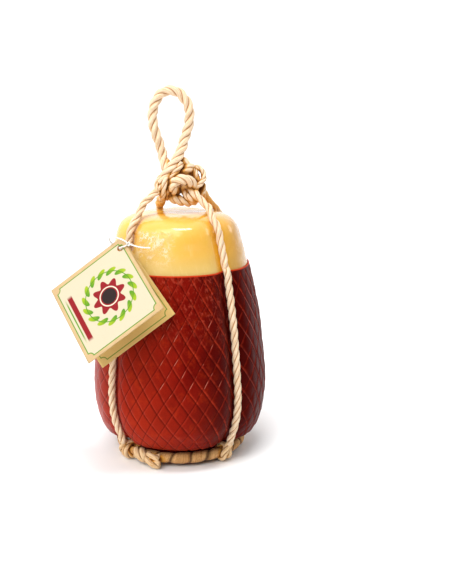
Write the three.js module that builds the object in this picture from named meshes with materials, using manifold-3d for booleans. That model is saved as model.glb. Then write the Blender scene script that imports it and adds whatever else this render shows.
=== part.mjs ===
// A caciocavallo: a tall stretched-curd cheese in a netted red casing, tied up in a rope sling
// with a hanging loop, and carrying a folded card tag on a thin string.
// Millimetres, +Z up. The origin is the centre of the flat foot that the cheese stands on.
// The tag hangs on the front, which faces -Y, and +X is to the right.

import * as THREE from 'three';
import { mergeVertices } from 'three/addons/utils/BufferGeometryUtils.js';
import Module from 'manifold-3d';

const wasm = await Module();
wasm.setup();

// ---------- Driving dimensions ----------

const CLEARANCE = 0.3; // left between pieces that touch
const CASING_WALL = 0.8;

const LEG_AZIMUTHS = [-53, 41.5, 129, 203]; // of the four ropes, degrees from the front, + to the right
const LEG_NAMES = ['front_left', 'front_right', 'back_right', 'back_left'];
const GROOVE_WIDTH = 9; // the rope's groove, from its middle to where it has mostly faded
const SIDE_SAG = [0, 0.5, 0.5, 0.96]; // how far each lobe between two ropes sags at its foot

const LEG_DIAMETER = 5.8; // where the rope is pulled tight over the cheese
const LOOP_DIAMETER = 7.8; // where it is slack, in the knot and the hanging loop
const SLACK_RADIUS = 17; // the rope is slack up to here from the axis
const TIGHT_RADIUS = 25; // and tight from here on
const TIGHT_HEIGHT = 208; // but slack again from this height
const SLACK_HEIGHT = 216; // to this one
const LEG_GAP = 0.6; // between a rope and the bottom of its groove
const ROPE_CUT_GAP = 0.9; // between two lengths of one rope
const ROPE_LAY = 25; // length of one turn of the strands
const ROPE_STEP = 1; // most between two sections of a rope, in its diameters
const ROPE_VALLEY = 0.76; // radius between two strands, as a share of the rope's
const ROPE_LIFT_ROW = 8; // first row of the profile at which a rope follows its groove
const ROPE_LEAVES_AT = 34; // radius at which it leaves the groove for the knot

const RING_RADIUS = 48.2; // the rope ring round the foot
const RING_HEIGHT = 7;
const RING_DIAMETER = 8.4;
const RING_LUMPS = 24;
const RING_SIDES = 6;
const RING_STEPS_PER_LUMP = 3;
const RING_NOTCH = 0.14; // depth between two lumps, as a share of the radius
const HITCH_RADIUS = 50; // where the ropes are hitched to the ring
const HITCH_HEIGHT = 8;
const HITCH_HALF_ANGLE = 13; // degrees of the ring that a hitch squeezes to each side
const HITCH_TURNS = 1.625;
const HITCH_PITCH = 0.95; // of its turns, in their own diameters
const HITCH_BITE = 0.5; // how far its turns press into the ring
const HITCH_DROP = 1.5; // from the end of a rope down to the start of its hitch
const HITCH_STEP = 5; // between the sections of its sweep
const NECK_DIAMETER = 5.5; // the ring, squeezed by a hitch
const WRAP_DIAMETER = 5.2;
const LEG_FOOT = [[58.5, 22], [56.6, 15.2]]; // radius and height of a rope above its hitch

const TAG_FOLD = 67; // length of the card's folded edge
const TAG_LEAF = 69.7; // from the fold to the free edge
const TAG_THICKNESS = 0.5;
const TAG_HOLE_DIAMETER = 3.7;
const TAG_HOLE_PLACE = [5.4, 7]; // along the fold and along the leaf
const DRILL_LENGTH = 12; // of the cylinder that cuts the hole through both leaves
const DRILL_SIDES = 14;
const TAG_TOP = new THREE.Vector3(-41.4, -38, 177.7); // top end of the fold
const TAG_LOW = new THREE.Vector3(-95, -36.6, 137.2); // low end of the fold
const TAG_FRONT = new THREE.Vector3(-11, -84.6, 135.9); // top free corner of the front leaf
const TAG_BACK = new THREE.Vector3(-3.1, -64.9, 126.1); // top free corner of the back leaf

const STRING_DIAMETER = 1.1;
const STRING_HEIGHT = 171; // where the string is tied round the front left rope
const PINCHED_DIAMETER = 3.6; // of that rope, under the string
const PINCH_REACH = 3; // above and below the string

// The wall's profile, from the foot up: radius, height, depth of the ropes' grooves, and how far
// a fully sagging side lobe goes outward and downward.
const CASING_PROFILE = [
  [38.0, 0.0, 2.5, 0, 0],
  [41.0, 1.0, 3.6, 0, 0],
  [42.7, 5.0, 4.6, 0, 0],
  [43.3, 9.0, 5.0, 0, 0],
  [46.0, 12.6, 5.8, 0, 0],
  [51.5, 14.2, 6.6, 2, 6],
  [56.0, 17.0, 6.8, 3, 7],
  [61.0, 24.0, 6.8, 3, 5],
  [65.0, 31.0, 6.8, 2, 2],
  [67.8, 41.0, 7.0, 0.8, 0],
  [68.9, 54.0, 7.0, 0, 0],
  [68.1, 71.0, 7.0, 0, 0],
  [66.3, 90.0, 6.9, 0, 0],
  [63.7, 110.0, 6.6, 0, 0],
  [60.2, 128.0, 6.0, 0, 0],
  [57.2, 141.0, 5.4, 0, 0],
  [54.9, 151.3, 4.6, 0, 0],
];
const BARE_PROFILE = [
  [53.6, 151.9, 4.6, 0, 0],
  [51.6, 159.0, 4.6, 0, 0],
  [49.6, 167.0, 4.8, 0, 0],
  [47.9, 175.0, 5.4, 0, 0],
  [46.4, 179.6, 4.9, 0, 0],
  [44.0, 183.6, 4.8, 0, 0],
  [40.8, 186.3, 4.1, 0, 0],
  [36.5, 188.3, 2.8, 0, 0],
  [31.0, 189.6, 1.2, 0, 0],
  [22.0, 190.6, 0.5, 0, 0],
  [11.0, 191.0, 0, 0, 0],
];
const TOP_CENTRE = 191.1;

// Routes of the rope above the cheese, from one rope's shoulder to the next one's. The first cord
// rises from the front left, crosses over, makes the hanging loop and goes down at the back left.
const FIRST_RISE = [
  [-26.0, -19.0, 199.5], [-20.3, -17.5, 204.8], [-17.3, -16.0, 207.3], [-14.9, -15.0, 209.8],
  [-13.3, -14.3, 213.1], [-11.6, -13.5, 216.7], [-9.0, -12.5, 220.7], [-5.7, -11.5, 224.9],
  [-1.8, -9.0, 230.0],
];
const HANGING_LOOP = [
  [1.6, -5.5, 235.9], [3.8, -2.0, 240.9], [5.4, 0.0, 246.9], [7.7, 0.5, 252.9], [9.3, 0.0, 261.9],
  [8.6, 0.0, 270.8], [5.3, 0.0, 276.7], [0.5, 0.0, 281.1], [-4.7, 0.0, 282.2], [-10.4, 0.0, 280.9],
  [-14.6, 0.0, 276.7], [-17.3, 0.0, 270.8], [-18.6, 0.0, 261.9], [-17.2, 0.0, 253.0],
  [-15.2, 0.5, 247.0], [-13.0, 1.0, 240.0],
];
const FIRST_FALL = [
  [-10.9, -0.5, 232.4], [-9.5, -4.5, 228.1], [-8.5, -7.2, 223.2], [-8.9, -7.6, 218.2],
  [-10.0, -5.5, 212.9], [-11.0, -1.0, 207.7], [-12.1, 3.0, 203.2], [-13.2, 7.5, 199.4],
  [-14.1, 12.0, 196.4], [-14.9, 18.0, 194.7],
];
// The second cord rises from the front right, dives through the knot, curls over behind the first
// cord and comes down behind the knot to the back right.
const SECOND_CORD = [
  [22.6, -21.8, 196.8], [19.2, -18.5, 199.6], [15.9, -16.5, 203.1], [12.4, -14.0, 206.1],
  [8.7, -10.0, 208.2], [5.3, -6.0, 209.3], [2.3, -1.0, 210.6], [0.4, 4.0, 213.9],
  [-0.3, 4.0, 218.5], [0.2, 1.0, 223.0], [1.7, -2.0, 227.1], [3.8, -4.0, 229.2],
  [6.1, -4.0, 227.3], [7.4, -2.0, 223.7], [8.4, 1.0, 219.9], [9.3, 3.0, 216.3],
  [11.2, 3.0, 212.4], [13.9, 2.0, 209.4], [16.9, 2.0, 207.1], [20.2, 5.0, 203.2],
  [23.3, 10.0, 198.6], [25.4, 15.5, 195.3],
];
// The knot's own turns, each with its diameter: whole rope, and thinner strands that spring from it.
const KNOT_TURNS = {
  arch: [8.2, [
    [11.0, -6.0, 208.1], [11.4, -10.0, 211.6], [9.4, -14.5, 215.2], [5.7, -17.0, 217.3],
    [1.7, -17.5, 217.4], [-1.8, -17.0, 216.1], [-3.8, -16.5, 213.6], [-4.1, -15.0, 210.6],
    [-2.3, -10.0, 208.3], [0.3, -4.0, 207.9],
  ]],
  underside: [8.0, [
    [-4.6, -4.0, 208.3], [-5.2, -7.0, 205.7], [-3.7, -10.0, 203.0], [0.2, -11.5, 201.3],
    [5.2, -11.5, 200.3], [9.7, -10.0, 199.9], [13.4, -7.0, 201.1], [15.6, -3.0, 203.5],
  ]],
  lower_strand: [5.2, [
    [3.0, -6.0, 210.1], [4.9, -11.0, 207.2], [7.1, -14.5, 204.3], [10.4, -14.5, 202.2],
    [13.5, -11.0, 201.1], [15.7, -6.0, 201.9],
  ]],
  middle: [8.4, [
    [3.4, 4.0, 203.4], [6.1, 4.0, 205.0], [8.1, 4.0, 208.4], [8.9, 4.0, 213.8], [6.3, 4.0, 218.5],
  ]],
  upper: [7.0, [
    [-0.7, -1.0, 219.8], [1.6, -5.0, 221.6], [5.0, -8.0, 222.6], [8.3, -7.5, 224.8],
    [10.5, -4.0, 225.0], [11.6, -1.0, 221.7], [12.2, 1.0, 217.2], [12.3, 2.0, 212.9],
  ]],
  shoulder: [4.6, [
    [11.2, -2.0, 224.8], [12.3, -4.0, 224.2], [13.3, -5.5, 221.4], [14.3, -6.5, 218.0],
    [15.4, -6.5, 214.2], [16.8, -4.0, 210.1], [18.4, 0.0, 206.5],
  ]],
  eye: [4.4, [
    [12.0, -3.0, 224.5], [15.2, -4.0, 225.0], [18.0, -4.5, 223.1], [19.6, -5.5, 219.4],
    [19.3, -7.5, 216.2], [17.1, -10.0, 213.5], [14.0, -11.5, 210.7], [11.3, -11.0, 207.6],
    [9.0, -9.0, 205.1],
  ]],
  under_eye: [4.4, [
    [18.0, -3.0, 212.7], [19.5, -5.0, 210.6], [19.1, -6.5, 207.3], [16.7, -7.5, 204.8],
    [14.0, -7.0, 203.6],
  ]],
  binding: [4.8, [
    [-8.4, -14.0, 218.2], [-9.6, -17.5, 216.4], [-10.5, -18.0, 212.7], [-11.2, -16.0, 208.0],
    [-11.9, -10.0, 203.0], [-12.6, -4.0, 200.0],
  ]],
  inner_binding: [4.2, [
    [-6.5, -12.0, 215.8], [-7.4, -14.0, 213.0], [-8.0, -13.0, 209.1], [-8.4, -9.0, 204.8],
    [-9.1, -3.0, 201.1],
  ]],
};

// The ring's cut end, split into two strands, lying in front of the ring.
const CUT_END_ROOT = [[-34.0, -37.5, 8.4], [-30.0, -42.5, 8.0], [-26.0, -46.5, 7.2]];
const CUT_END_UPPER = [[-26.5, -46.5, 8.4], [-22.0, -49.5, 8.9], [-17.0, -51.0, 8.6]];
const CUT_END_LOWER = [[-27.0, -47.0, 5.6], [-21.5, -51.0, 4.6], [-16.6, -53.4, 3.7]];
const CUT_END_DIAMETERS = [10, 6, 6.6];
const CUT_END_SIDES = 7;
const CUT_END_STEP = 4;

// The string: its free end in front of the cheese, then the knot, then the bow at the left, which
// goes behind the tag. From there it comes through the tag's hole and back up to the knot.
const STRING_KNOT = [-36.5, -45.2, 174.0];
const STRING_FREE_END = [
  [-20.5, -49.5, 171.8], [-25.2, -49.2, 171.9], [-30.0, -48.0, 172.5], [-34.0, -46.3, 173.4],
];
const STRING_BOW = [
  [-39.6, -44.2, 176.2], [-42.5, -43.2, 177.4], [-45.7, -41.4, 178.2], [-49.1, -38.7, 178.3],
  [-51.0, -36.0, 176.7], [-50.4, -33.5, 173.6], [-47.6, -32.5, 170.6],
];
const STRING_OVER_EDGE = [-39.2, -45.4, 172.4]; // past the front leaf's edge
const STRING_BESIDE_TAG = [[-34.6, -38.5, 173.2], [-35.0, -37.5, 171.6]]; // on the way to the rope
const STRING_THROUGH_HOLE = [-4.5, 0, 3]; // from behind the tag, through its hole, to the front
const STRING_TIE_ANGLES = [90, 125, 160, 200, 235, 270]; // behind the rope, seen from the knot
const STRING_KNOT_DIAMETER = 3;
const STRING_SIDES = 5;
const STRING_STEP = 4; // between the sections of its sweep, and round the rope
const STRING_TIE_STEP = 2;

// ---------- Closed meshes and joins ----------

function closedGeometry(points, triangles) {
  const geometry = new THREE.BufferGeometry();
  geometry.setAttribute('position', new THREE.Float32BufferAttribute(points.flatMap((p) => p.toArray()), 3));
  geometry.setIndex(triangles.flat());
  return geometry;
}

function toSolid(geometry) {
  const bare = geometry.clone();
  bare.deleteAttribute('normal');
  bare.deleteAttribute('uv');
  const merged = mergeVertices(bare, 1e-4);
  return new wasm.Manifold(
    new wasm.Mesh({
      numProp: 3,
      vertProperties: new Float32Array(merged.attributes.position.array),
      triVerts: new Uint32Array(merged.index.array),
    }),
  );
}

function toGeometry(solid) {
  const mesh = solid.getMesh();
  const geometry = new THREE.BufferGeometry();
  geometry.setAttribute('position', new THREE.BufferAttribute(new Float32Array(mesh.vertProperties), 3));
  geometry.setIndex(new THREE.BufferAttribute(new Uint32Array(mesh.triVerts), 1));
  return geometry;
}

// Joins pieces and keeps the outer skin alone, so that a hollow sealed by the join is filled.
function joined(geometries) {
  const whole = geometries.map(toSolid).reduce((sum, piece) => sum.add(piece));
  const skins = whole.decompose();
  return toGeometry(skins.reduce((largest, skin) => (skin.volume() > largest.volume() ? skin : largest)));
}

// Joins rows of points into a skin. Each row runs the same way round and closes on itself.
function skinTriangles(rowCount, columnCount, first = 0, inward = false) {
  const triangles = [];
  for (let row = 0; row < rowCount - 1; row += 1) {
    for (let column = 0; column < columnCount; column += 1) {
      const next = (column + 1) % columnCount;
      const a = first + row * columnCount + column;
      const b = first + row * columnCount + next;
      const c = a + columnCount;
      const d = b + columnCount;
      triangles.push(inward ? [a, d, b] : [a, b, d], inward ? [a, c, d] : [a, d, c]);
    }
  }
  return triangles;
}

// Closes one flat row, seen from above as a polygon.
function flatCap(points, first, facingUp) {
  const contour = points.map((p) => new THREE.Vector2(p.x, p.y));
  return THREE.ShapeUtils.triangulateShape(contour, []).map(([a, b, c]) => {
    const corners = [contour[a], contour[b], contour[c]];
    const isCounterClockwise = THREE.ShapeUtils.area(corners) > 0;
    const triangle = [first + a, first + b, first + c];
    return isCounterClockwise === facingUp ? triangle : triangle.reverse();
  });
}

// ---------- The cheese's wall ----------

const radians = THREE.MathUtils.degToRad;

function angleBetween(a, b) {
  return THREE.MathUtils.euclideanModulo(a - b + 180, 360) - 180;
}

// 0 on the lobes, rising to 1 in the middle of a rope's groove.
function grooveShare(azimuth, radius) {
  const shares = LEG_AZIMUTHS.map((leg) => {
    const sideways = radius * radians(angleBetween(azimuth, leg));
    return Math.exp(-((sideways / GROOVE_WIDTH) ** 2));
  });
  return Math.max(...shares);
}

function sagShare(azimuth) {
  const turn = THREE.MathUtils.euclideanModulo(azimuth - LEG_AZIMUTHS[0], 360);
  const starts = LEG_AZIMUTHS.map((leg) => leg - LEG_AZIMUTHS[0]);
  const lobe = starts.findLastIndex((start) => start <= turn);
  const end = lobe + 1 < starts.length ? starts[lobe + 1] : 360;
  const across = (turn - starts[lobe]) / (end - starts[lobe]);
  return SIDE_SAG[lobe] * Math.sin(Math.PI * across) ** 2;
}

function onWall([radius, height, groove, sagOut, sagDown], azimuth) {
  const sag = sagShare(azimuth);
  const r = radius + sagOut * sag - groove * grooveShare(azimuth, radius);
  const angle = radians(azimuth);
  return new THREE.Vector3(r * Math.sin(angle), -r * Math.cos(angle), height - sagDown * sag);
}

// Moves a profile inward by the given distance, square to itself.
function insetProfile(profile, distance) {
  return profile.map((row, i) => {
    const below = profile[Math.max(i - 1, 0)];
    const above = profile[Math.min(i + 1, profile.length - 1)];
    const along = new THREE.Vector2(above[0] - below[0], above[1] - below[1]).normalize();
    const height = i === 0 ? row[1] + distance : row[1] + along.x * distance;
    return [row[0] - along.y * distance, height, ...row.slice(2)];
  });
}

// Columns close together across each groove and wider apart on the lobes.
function wallAzimuths() {
  const besideRope = [-15, -8.5, -3.5, 0, 3.5, 8.5, 15];
  const lobeColumns = [3, 3, 2, 4];
  return LEG_AZIMUTHS.flatMap((leg, i) => {
    const nextLeg = i + 1 < LEG_AZIMUTHS.length ? LEG_AZIMUTHS[i + 1] : LEG_AZIMUTHS[0] + 360;
    const start = leg + besideRope.at(-1);
    const step = (nextLeg + besideRope[0] - start) / (lobeColumns[i] + 1);
    const onLobe = Array.from({ length: lobeColumns[i] }, (_, k) => start + step * (k + 1));
    return [...besideRope.map((offset) => leg + offset), ...onLobe];
  });
}

const AZIMUTHS = wallAzimuths();

function wallRows(profile) {
  return profile.map((row) => AZIMUTHS.map((azimuth) => onWall(row, azimuth)));
}

function cheeseGeometry() {
  const covered = insetProfile(CASING_PROFILE, CASING_WALL + CLEARANCE);
  const rows = wallRows([...covered, ...BARE_PROFILE]);
  const points = rows.flat();
  const triangles = skinTriangles(rows.length, AZIMUTHS.length);
  triangles.push(...flatCap(rows[0], 0, false));
  const centre = points.length;
  points.push(new THREE.Vector3(0, 0, TOP_CENTRE));
  const lastRow = centre - AZIMUTHS.length;
  AZIMUTHS.forEach((_, column) => {
    triangles.push([lastRow + column, lastRow + ((column + 1) % AZIMUTHS.length), centre]);
  });
  return closedGeometry(points, triangles);
}

// A closed foot and wall, open at the rim, with the cheese inside.
function casingGeometry() {
  const outer = wallRows(CASING_PROFILE);
  const inner = wallRows(insetProfile(CASING_PROFILE, CASING_WALL));
  const columns = AZIMUTHS.length;
  const innerFirst = outer.length * columns;
  const points = [...outer.flat(), ...inner.flat()];
  const triangles = [
    ...skinTriangles(outer.length, columns),
    ...skinTriangles(inner.length, columns, innerFirst, true),
    ...flatCap(outer[0], 0, false),
    ...flatCap(inner[0], innerFirst, true),
  ];
  const outerRim = (outer.length - 1) * columns;
  const innerRim = innerFirst + outerRim;
  for (let column = 0; column < columns; column += 1) {
    const next = (column + 1) % columns;
    triangles.push(
      [outerRim + column, outerRim + next, innerRim + next],
      [outerRim + column, innerRim + next, innerRim + column],
    );
  }
  return closedGeometry(points, triangles);
}

// ---------- Rope ----------

const toVector = ([x, y, z]) => new THREE.Vector3(x, y, z);

function smoothRoute(points, closed = false) {
  return new THREE.CatmullRomCurve3(points, closed, 'centripetal');
}

// A section swept along a route. sectionAt(distance, share) gives its corners as [angle, radius].
function sweep(route, steps, sectionAt, closed = false) {
  const frames = route.computeFrenetFrames(steps, closed);
  const length = route.getLength();
  const stationCount = closed ? steps : steps + 1;
  const points = [];
  let corners = 0;
  for (let i = 0; i < stationCount; i += 1) {
    const share = i / steps;
    const centre = route.getPointAt(share);
    const section = sectionAt(length * share, share);
    corners = section.length;
    section.forEach(([angle, radius]) => {
      const out = frames.normals[i].clone().multiplyScalar(Math.cos(angle) * radius);
      out.addScaledVector(frames.binormals[i], Math.sin(angle) * radius);
      points.push(centre.clone().add(out));
    });
  }
  const triangles = skinTriangles(stationCount, corners);
  const last = (stationCount - 1) * corners;
  for (let k = 0; k < corners; k += 1) {
    const next = (k + 1) % corners;
    if (closed) {
      triangles.push([last + k, last + next, next], [last + k, next, k]);
    } else if (k > 0 && k < corners - 1) {
      triangles.push([0, next, k], [last, last + k, last + next]);
    }
  }
  return closedGeometry(points, triangles);
}

// Three-strand rope: the corners are the strands' crests and the valleys between them.
function ropeSection(distance, diameter) {
  const turn = (2 * Math.PI * distance) / ROPE_LAY;
  return Array.from({ length: 6 }, (_, k) => {
    const radius = (diameter / 2) * (k % 2 === 0 ? 1 : ROPE_VALLEY);
    return [turn + (k * Math.PI) / 3, radius];
  });
}

// A length of rope, which takes its diameter at each point from diameterAt.
function rope(points, diameterAt) {
  const route = smoothRoute(points);
  const stepLength = Math.min(ROPE_LAY / 6, ROPE_STEP * diameterAt(points[0]));
  const steps = Math.max(3, Math.round(route.getLength() / stepLength));
  return sweep(route, steps, (distance, share) => ropeSection(distance, diameterAt(route.getPointAt(share))));
}

// Of the two long cords.
function cordDiameter(point) {
  const outward = THREE.MathUtils.smoothstep(Math.hypot(point.x, point.y), SLACK_RADIUS, TIGHT_RADIUS);
  const downward = 1 - THREE.MathUtils.smoothstep(point.z, TIGHT_HEIGHT, SLACK_HEIGHT);
  return THREE.MathUtils.lerp(LOOP_DIAMETER, LEG_DIAMETER, outward * downward);
}

// The front left rope is pinched where the string is tied round it.
function pinchedDiameter(point) {
  return Math.abs(point.z - STRING_HEIGHT) < PINCH_REACH ? PINCHED_DIAMETER : cordDiameter(point);
}

function cord(points, diameter, sides, stepLength) {
  const route = smoothRoute(points);
  const steps = Math.ceil(route.getLength() / stepLength);
  const section = Array.from({ length: sides }, (_, k) => [(2 * Math.PI * k) / sides, diameter / 2]);
  return sweep(route, steps, () => section);
}

// Points along a groove's bottom, lifted by the rope's radius.
function groovePoints(azimuth, lowest) {
  const profile = [...CASING_PROFILE, ...BARE_PROFILE];
  const lift = -(LEG_DIAMETER / 2 + LEG_GAP);
  const sunk = profile.map(([r, z, groove]) => [r - groove, z]);
  const lifted = insetProfile(sunk, lift);
  const angle = radians(azimuth);
  return lifted
    .filter(([, z], i) => z > lowest && i >= ROPE_LIFT_ROW && sunk[i][0] > ROPE_LEAVES_AT)
    .map(([r, z]) => new THREE.Vector3(r * Math.sin(angle), -r * Math.cos(angle), z));
}

function atAzimuth(azimuth, radius, height, sideways = 0) {
  const angle = radians(azimuth) + sideways / radius;
  return new THREE.Vector3(radius * Math.sin(angle), -radius * Math.cos(angle), height);
}

function legPoints(leg) {
  const azimuth = LEG_AZIMUTHS[leg];
  const foot = LEG_FOOT.map(([radius, height]) => atAzimuth(azimuth, radius, height));
  return [...foot.reverse(), ...groovePoints(azimuth, LEG_FOOT[0][1] + 4)];
}

// Cuts a rope's route into pieces with a small gap between them.
function cutRoute(points, cutsAfter) {
  const route = smoothRoute(points);
  const total = route.getLength();
  const samples = 1200;
  const distanceTo = (target) => {
    let best = 0;
    let bestGap = Infinity;
    for (let i = 0; i <= samples; i += 1) {
      const gap = route.getPointAt(i / samples).distanceTo(target);
      if (gap < bestGap) {
        bestGap = gap;
        best = i / samples;
      }
    }
    return best;
  };
  const cuts = [0, ...cutsAfter.map((i) => distanceTo(points[i])), 1];
  const halfGap = ROPE_CUT_GAP / 2 / total;
  return cuts.slice(1).map((end, i) => {
    const from = cuts[i] + (i > 0 ? halfGap : 0);
    const to = end - (end < 1 ? halfGap : 0);
    const count = Math.max(4, Math.round(((to - from) * total) / 4));
    return Array.from({ length: count + 1 }, (_, k) => route.getPointAt(from + ((to - from) * k) / count));
  });
}

// ---------- The sling's pieces ----------

function firstCord() {
  const up = legPoints(0);
  const down = legPoints(3).reverse();
  const rise = FIRST_RISE.map(toVector);
  const loop = HANGING_LOOP.map(toVector);
  const fall = FIRST_FALL.map(toVector);
  const points = [...up, ...rise, ...loop, ...fall, ...down];
  const overShoulder = up.length;
  const loopStart = up.length + rise.length;
  const loopEnd = loopStart + loop.length - 1;
  const overBackShoulder = loopEnd + fall.length;
  return cutRoute(points, [overShoulder, loopStart, loopEnd, overBackShoulder]);
}

function secondCord() {
  const up = legPoints(1);
  const down = legPoints(2).reverse();
  const middle = SECOND_CORD.map(toVector);
  const points = [...up, ...middle, ...down];
  return cutRoute(points, [up.length, up.length + middle.length - 1]);
}

function knotGeometry(cordPieces) {
  const cords = cordPieces.map((points) => rope(points, cordDiameter));
  const turns = Object.values(KNOT_TURNS).map(([diameter, points]) => {
    return rope(points.map(toVector), () => diameter);
  });
  return joined([...cords, ...turns]);
}

// 1 in the middle of a hitch, fading to 0 at its sides.
function hitchShare(azimuth) {
  const shares = LEG_AZIMUTHS.map((leg) => {
    const away = Math.abs(angleBetween(azimuth, leg)) / HITCH_HALF_ANGLE;
    return away < 1 ? Math.cos((away * Math.PI) / 2) ** 2 : 0;
  });
  return Math.max(...shares);
}

// The ring's section: a hexagon with a notch that winds round it from lump to lump.
function ringSection(share) {
  const squeezed = hitchShare(360 * share);
  const radius = THREE.MathUtils.lerp(RING_DIAMETER, NECK_DIAMETER, squeezed) / 2;
  return Array.from({ length: RING_SIDES }, (_, k) => {
    const phase = THREE.MathUtils.euclideanModulo(share * RING_LUMPS + k / RING_SIDES, 1);
    const notch = RING_NOTCH * (1 - squeezed) * Math.cos(Math.PI * phase) ** 8;
    return [(2 * Math.PI * k) / RING_SIDES, radius * (1 - notch)];
  });
}

function ringGeometry() {
  const steps = RING_LUMPS * RING_STEPS_PER_LUMP;
  const centres = Array.from({ length: steps }, (_, i) => {
    const azimuth = (360 * i) / steps;
    const squeezed = hitchShare(azimuth);
    const radius = THREE.MathUtils.lerp(RING_RADIUS, HITCH_RADIUS, squeezed);
    return atAzimuth(azimuth, radius, THREE.MathUtils.lerp(RING_HEIGHT, HITCH_HEIGHT, squeezed));
  });
  const ring = sweep(smoothRoute(centres, true), steps, (_, share) => ringSection(share), true);
  const cutEnd = [CUT_END_ROOT, CUT_END_UPPER, CUT_END_LOWER].map((points, i) =>
    cord(points.map(toVector), CUT_END_DIAMETERS[i], CUT_END_SIDES, CUT_END_STEP),
  );
  return joined([ring, ...LEG_AZIMUTHS.map(hitchGeometry), ...cutEnd]);
}

// A rope's end comes down outside the ring and is wound round its squeezed neck.
function hitchGeometry(azimuth) {
  const stepsPerTurn = 8;
  const reach = (NECK_DIAMETER + WRAP_DIAMETER) / 2 - HITCH_BITE;
  const [footRadius, footHeight] = LEG_FOOT.at(-1);
  const points = [atAzimuth(azimuth, footRadius, footHeight - HITCH_DROP)];
  for (let i = 0; i <= HITCH_TURNS * stepsPerTurn; i += 1) {
    const angle = (-2 * Math.PI * i) / stepsPerTurn;
    const sideways = (i / stepsPerTurn - HITCH_TURNS / 2) * WRAP_DIAMETER * HITCH_PITCH;
    const radius = HITCH_RADIUS + reach * Math.cos(angle);
    points.push(atAzimuth(azimuth, radius, HITCH_HEIGHT + reach * Math.sin(angle), sideways));
  }
  return cord(points, WRAP_DIAMETER, RING_SIDES, HITCH_STEP);
}

// ---------- The tag and its string ----------

const FOLD_WAY = TAG_LOW.clone().sub(TAG_TOP).normalize();
const leafWay = (corner) => {
  const way = corner.clone().sub(TAG_TOP);
  return way.addScaledVector(FOLD_WAY, -way.dot(FOLD_WAY)).normalize();
};
const FRONT_WAY = leafWay(TAG_FRONT);
const BACK_WAY = leafWay(TAG_BACK);

// One card, folded: its section is a narrow V, drawn out along the fold.
function tagGeometry() {
  const across = BACK_WAY.clone();
  const up = new THREE.Vector3().crossVectors(FOLD_WAY, across).normalize();
  const opening = Math.atan2(FRONT_WAY.dot(up), FRONT_WAY.dot(across));
  const side = Math.sign(opening);
  const half = (side * TAG_THICKNESS) / 2;
  const leaf = (along, out, angle) => {
    const x = along * Math.cos(angle) - out * Math.sin(angle);
    const y = along * Math.sin(angle) + out * Math.cos(angle);
    return new THREE.Vector2(x, y);
  };
  const insideCorner = TAG_THICKNESS / 2 / Math.tan(Math.abs(opening) / 2);
  const section = [
    leaf(0, -half, 0),
    leaf(TAG_LEAF, -half, 0),
    leaf(TAG_LEAF, half, 0),
    leaf(insideCorner, half, 0),
    leaf(TAG_LEAF, -half, opening),
    leaf(TAG_LEAF, half, opening),
    leaf(0, half, opening),
    leaf(-TAG_THICKNESS / 2, 0, opening / 2),
  ];
  const card = new THREE.ExtrudeGeometry(new THREE.Shape(section), { depth: TAG_FOLD, bevelEnabled: false });
  card.applyMatrix4(new THREE.Matrix4().makeBasis(across, up, FOLD_WAY).setPosition(TAG_TOP));
  const place = besideHole(0);
  const through = besideHole(1).sub(place);
  const radius = TAG_HOLE_DIAMETER / 2;
  const drill = new THREE.CylinderGeometry(radius, radius, DRILL_LENGTH, DRILL_SIDES);
  drill.applyQuaternion(new THREE.Quaternion().setFromUnitVectors(new THREE.Vector3(0, 1, 0), through));
  drill.translate(...place.toArray());
  return toGeometry(toSolid(card).subtract(toSolid(drill)));
}

// A point beside the tag's hole, out from the middle of the gap between the leaves.
function besideHole(out) {
  const middleWay = FRONT_WAY.clone().add(BACK_WAY).normalize();
  return TAG_TOP.clone()
    .addScaledVector(FOLD_WAY, TAG_HOLE_PLACE[0])
    .addScaledVector(middleWay, TAG_HOLE_PLACE[1])
    .addScaledVector(new THREE.Vector3().crossVectors(FOLD_WAY, middleWay).normalize(), out);
}

// The middle of a rope at a height.
function routeAtHeight(points, height) {
  const route = smoothRoute(points);
  const sampleCount = 400;
  const samples = Array.from({ length: sampleCount }, (_, i) => route.getPointAt(i / sampleCount));
  const away = (point) => Math.abs(point.z - height);
  return samples.reduce((best, point) => (away(point) < away(best) ? point : best));
}

function stringGeometry(tiedRope) {
  const knot = toVector(STRING_KNOT);
  const ends = [...STRING_FREE_END.map(toVector), knot, ...STRING_BOW.map(toVector)];
  ends.push(...STRING_THROUGH_HOLE.map(besideHole), toVector(STRING_OVER_EDGE), knot);
  const ropeCentre = routeAtHeight(tiedRope, STRING_HEIGHT);
  const reach = (PINCHED_DIAMETER + STRING_DIAMETER) / 2 + CLEARANCE;
  const facing = Math.atan2(knot.y - ropeCentre.y, knot.x - ropeCentre.x);
  const tie = STRING_TIE_ANGLES.map((degrees) => {
    const angle = facing + radians(degrees);
    return new THREE.Vector3(Math.cos(angle) * reach, Math.sin(angle) * reach, 0).add(ropeCentre);
  });
  const [upper, lower] = STRING_BESIDE_TAG.map(toVector);
  const knotBall = new THREE.SphereGeometry(STRING_KNOT_DIAMETER / 2, 8, 6);
  knotBall.translate(...STRING_KNOT);
  return joined([
    cord(ends, STRING_DIAMETER, STRING_SIDES, STRING_STEP),
    cord([knot, upper, ...tie, lower, knot], STRING_DIAMETER, STRING_SIDES, STRING_TIE_STEP),
    knotBall,
  ]);
}

// ---------- The whole object ----------

function mesh(name, geometry, color, roughness) {
  const material = new THREE.MeshStandardMaterial({ color, roughness, metalness: 0 });
  const piece = new THREE.Mesh(geometry, material);
  piece.name = name;
  return piece;
}

const ROPE_COLOUR = '#e6cfae';
const caciocavallo = new THREE.Group();
caciocavallo.add(mesh('cheese', cheeseGeometry(), '#f3cf7d', 0.3));
caciocavallo.add(mesh('casing', casingGeometry(), '#7d170f', 0.45));

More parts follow.
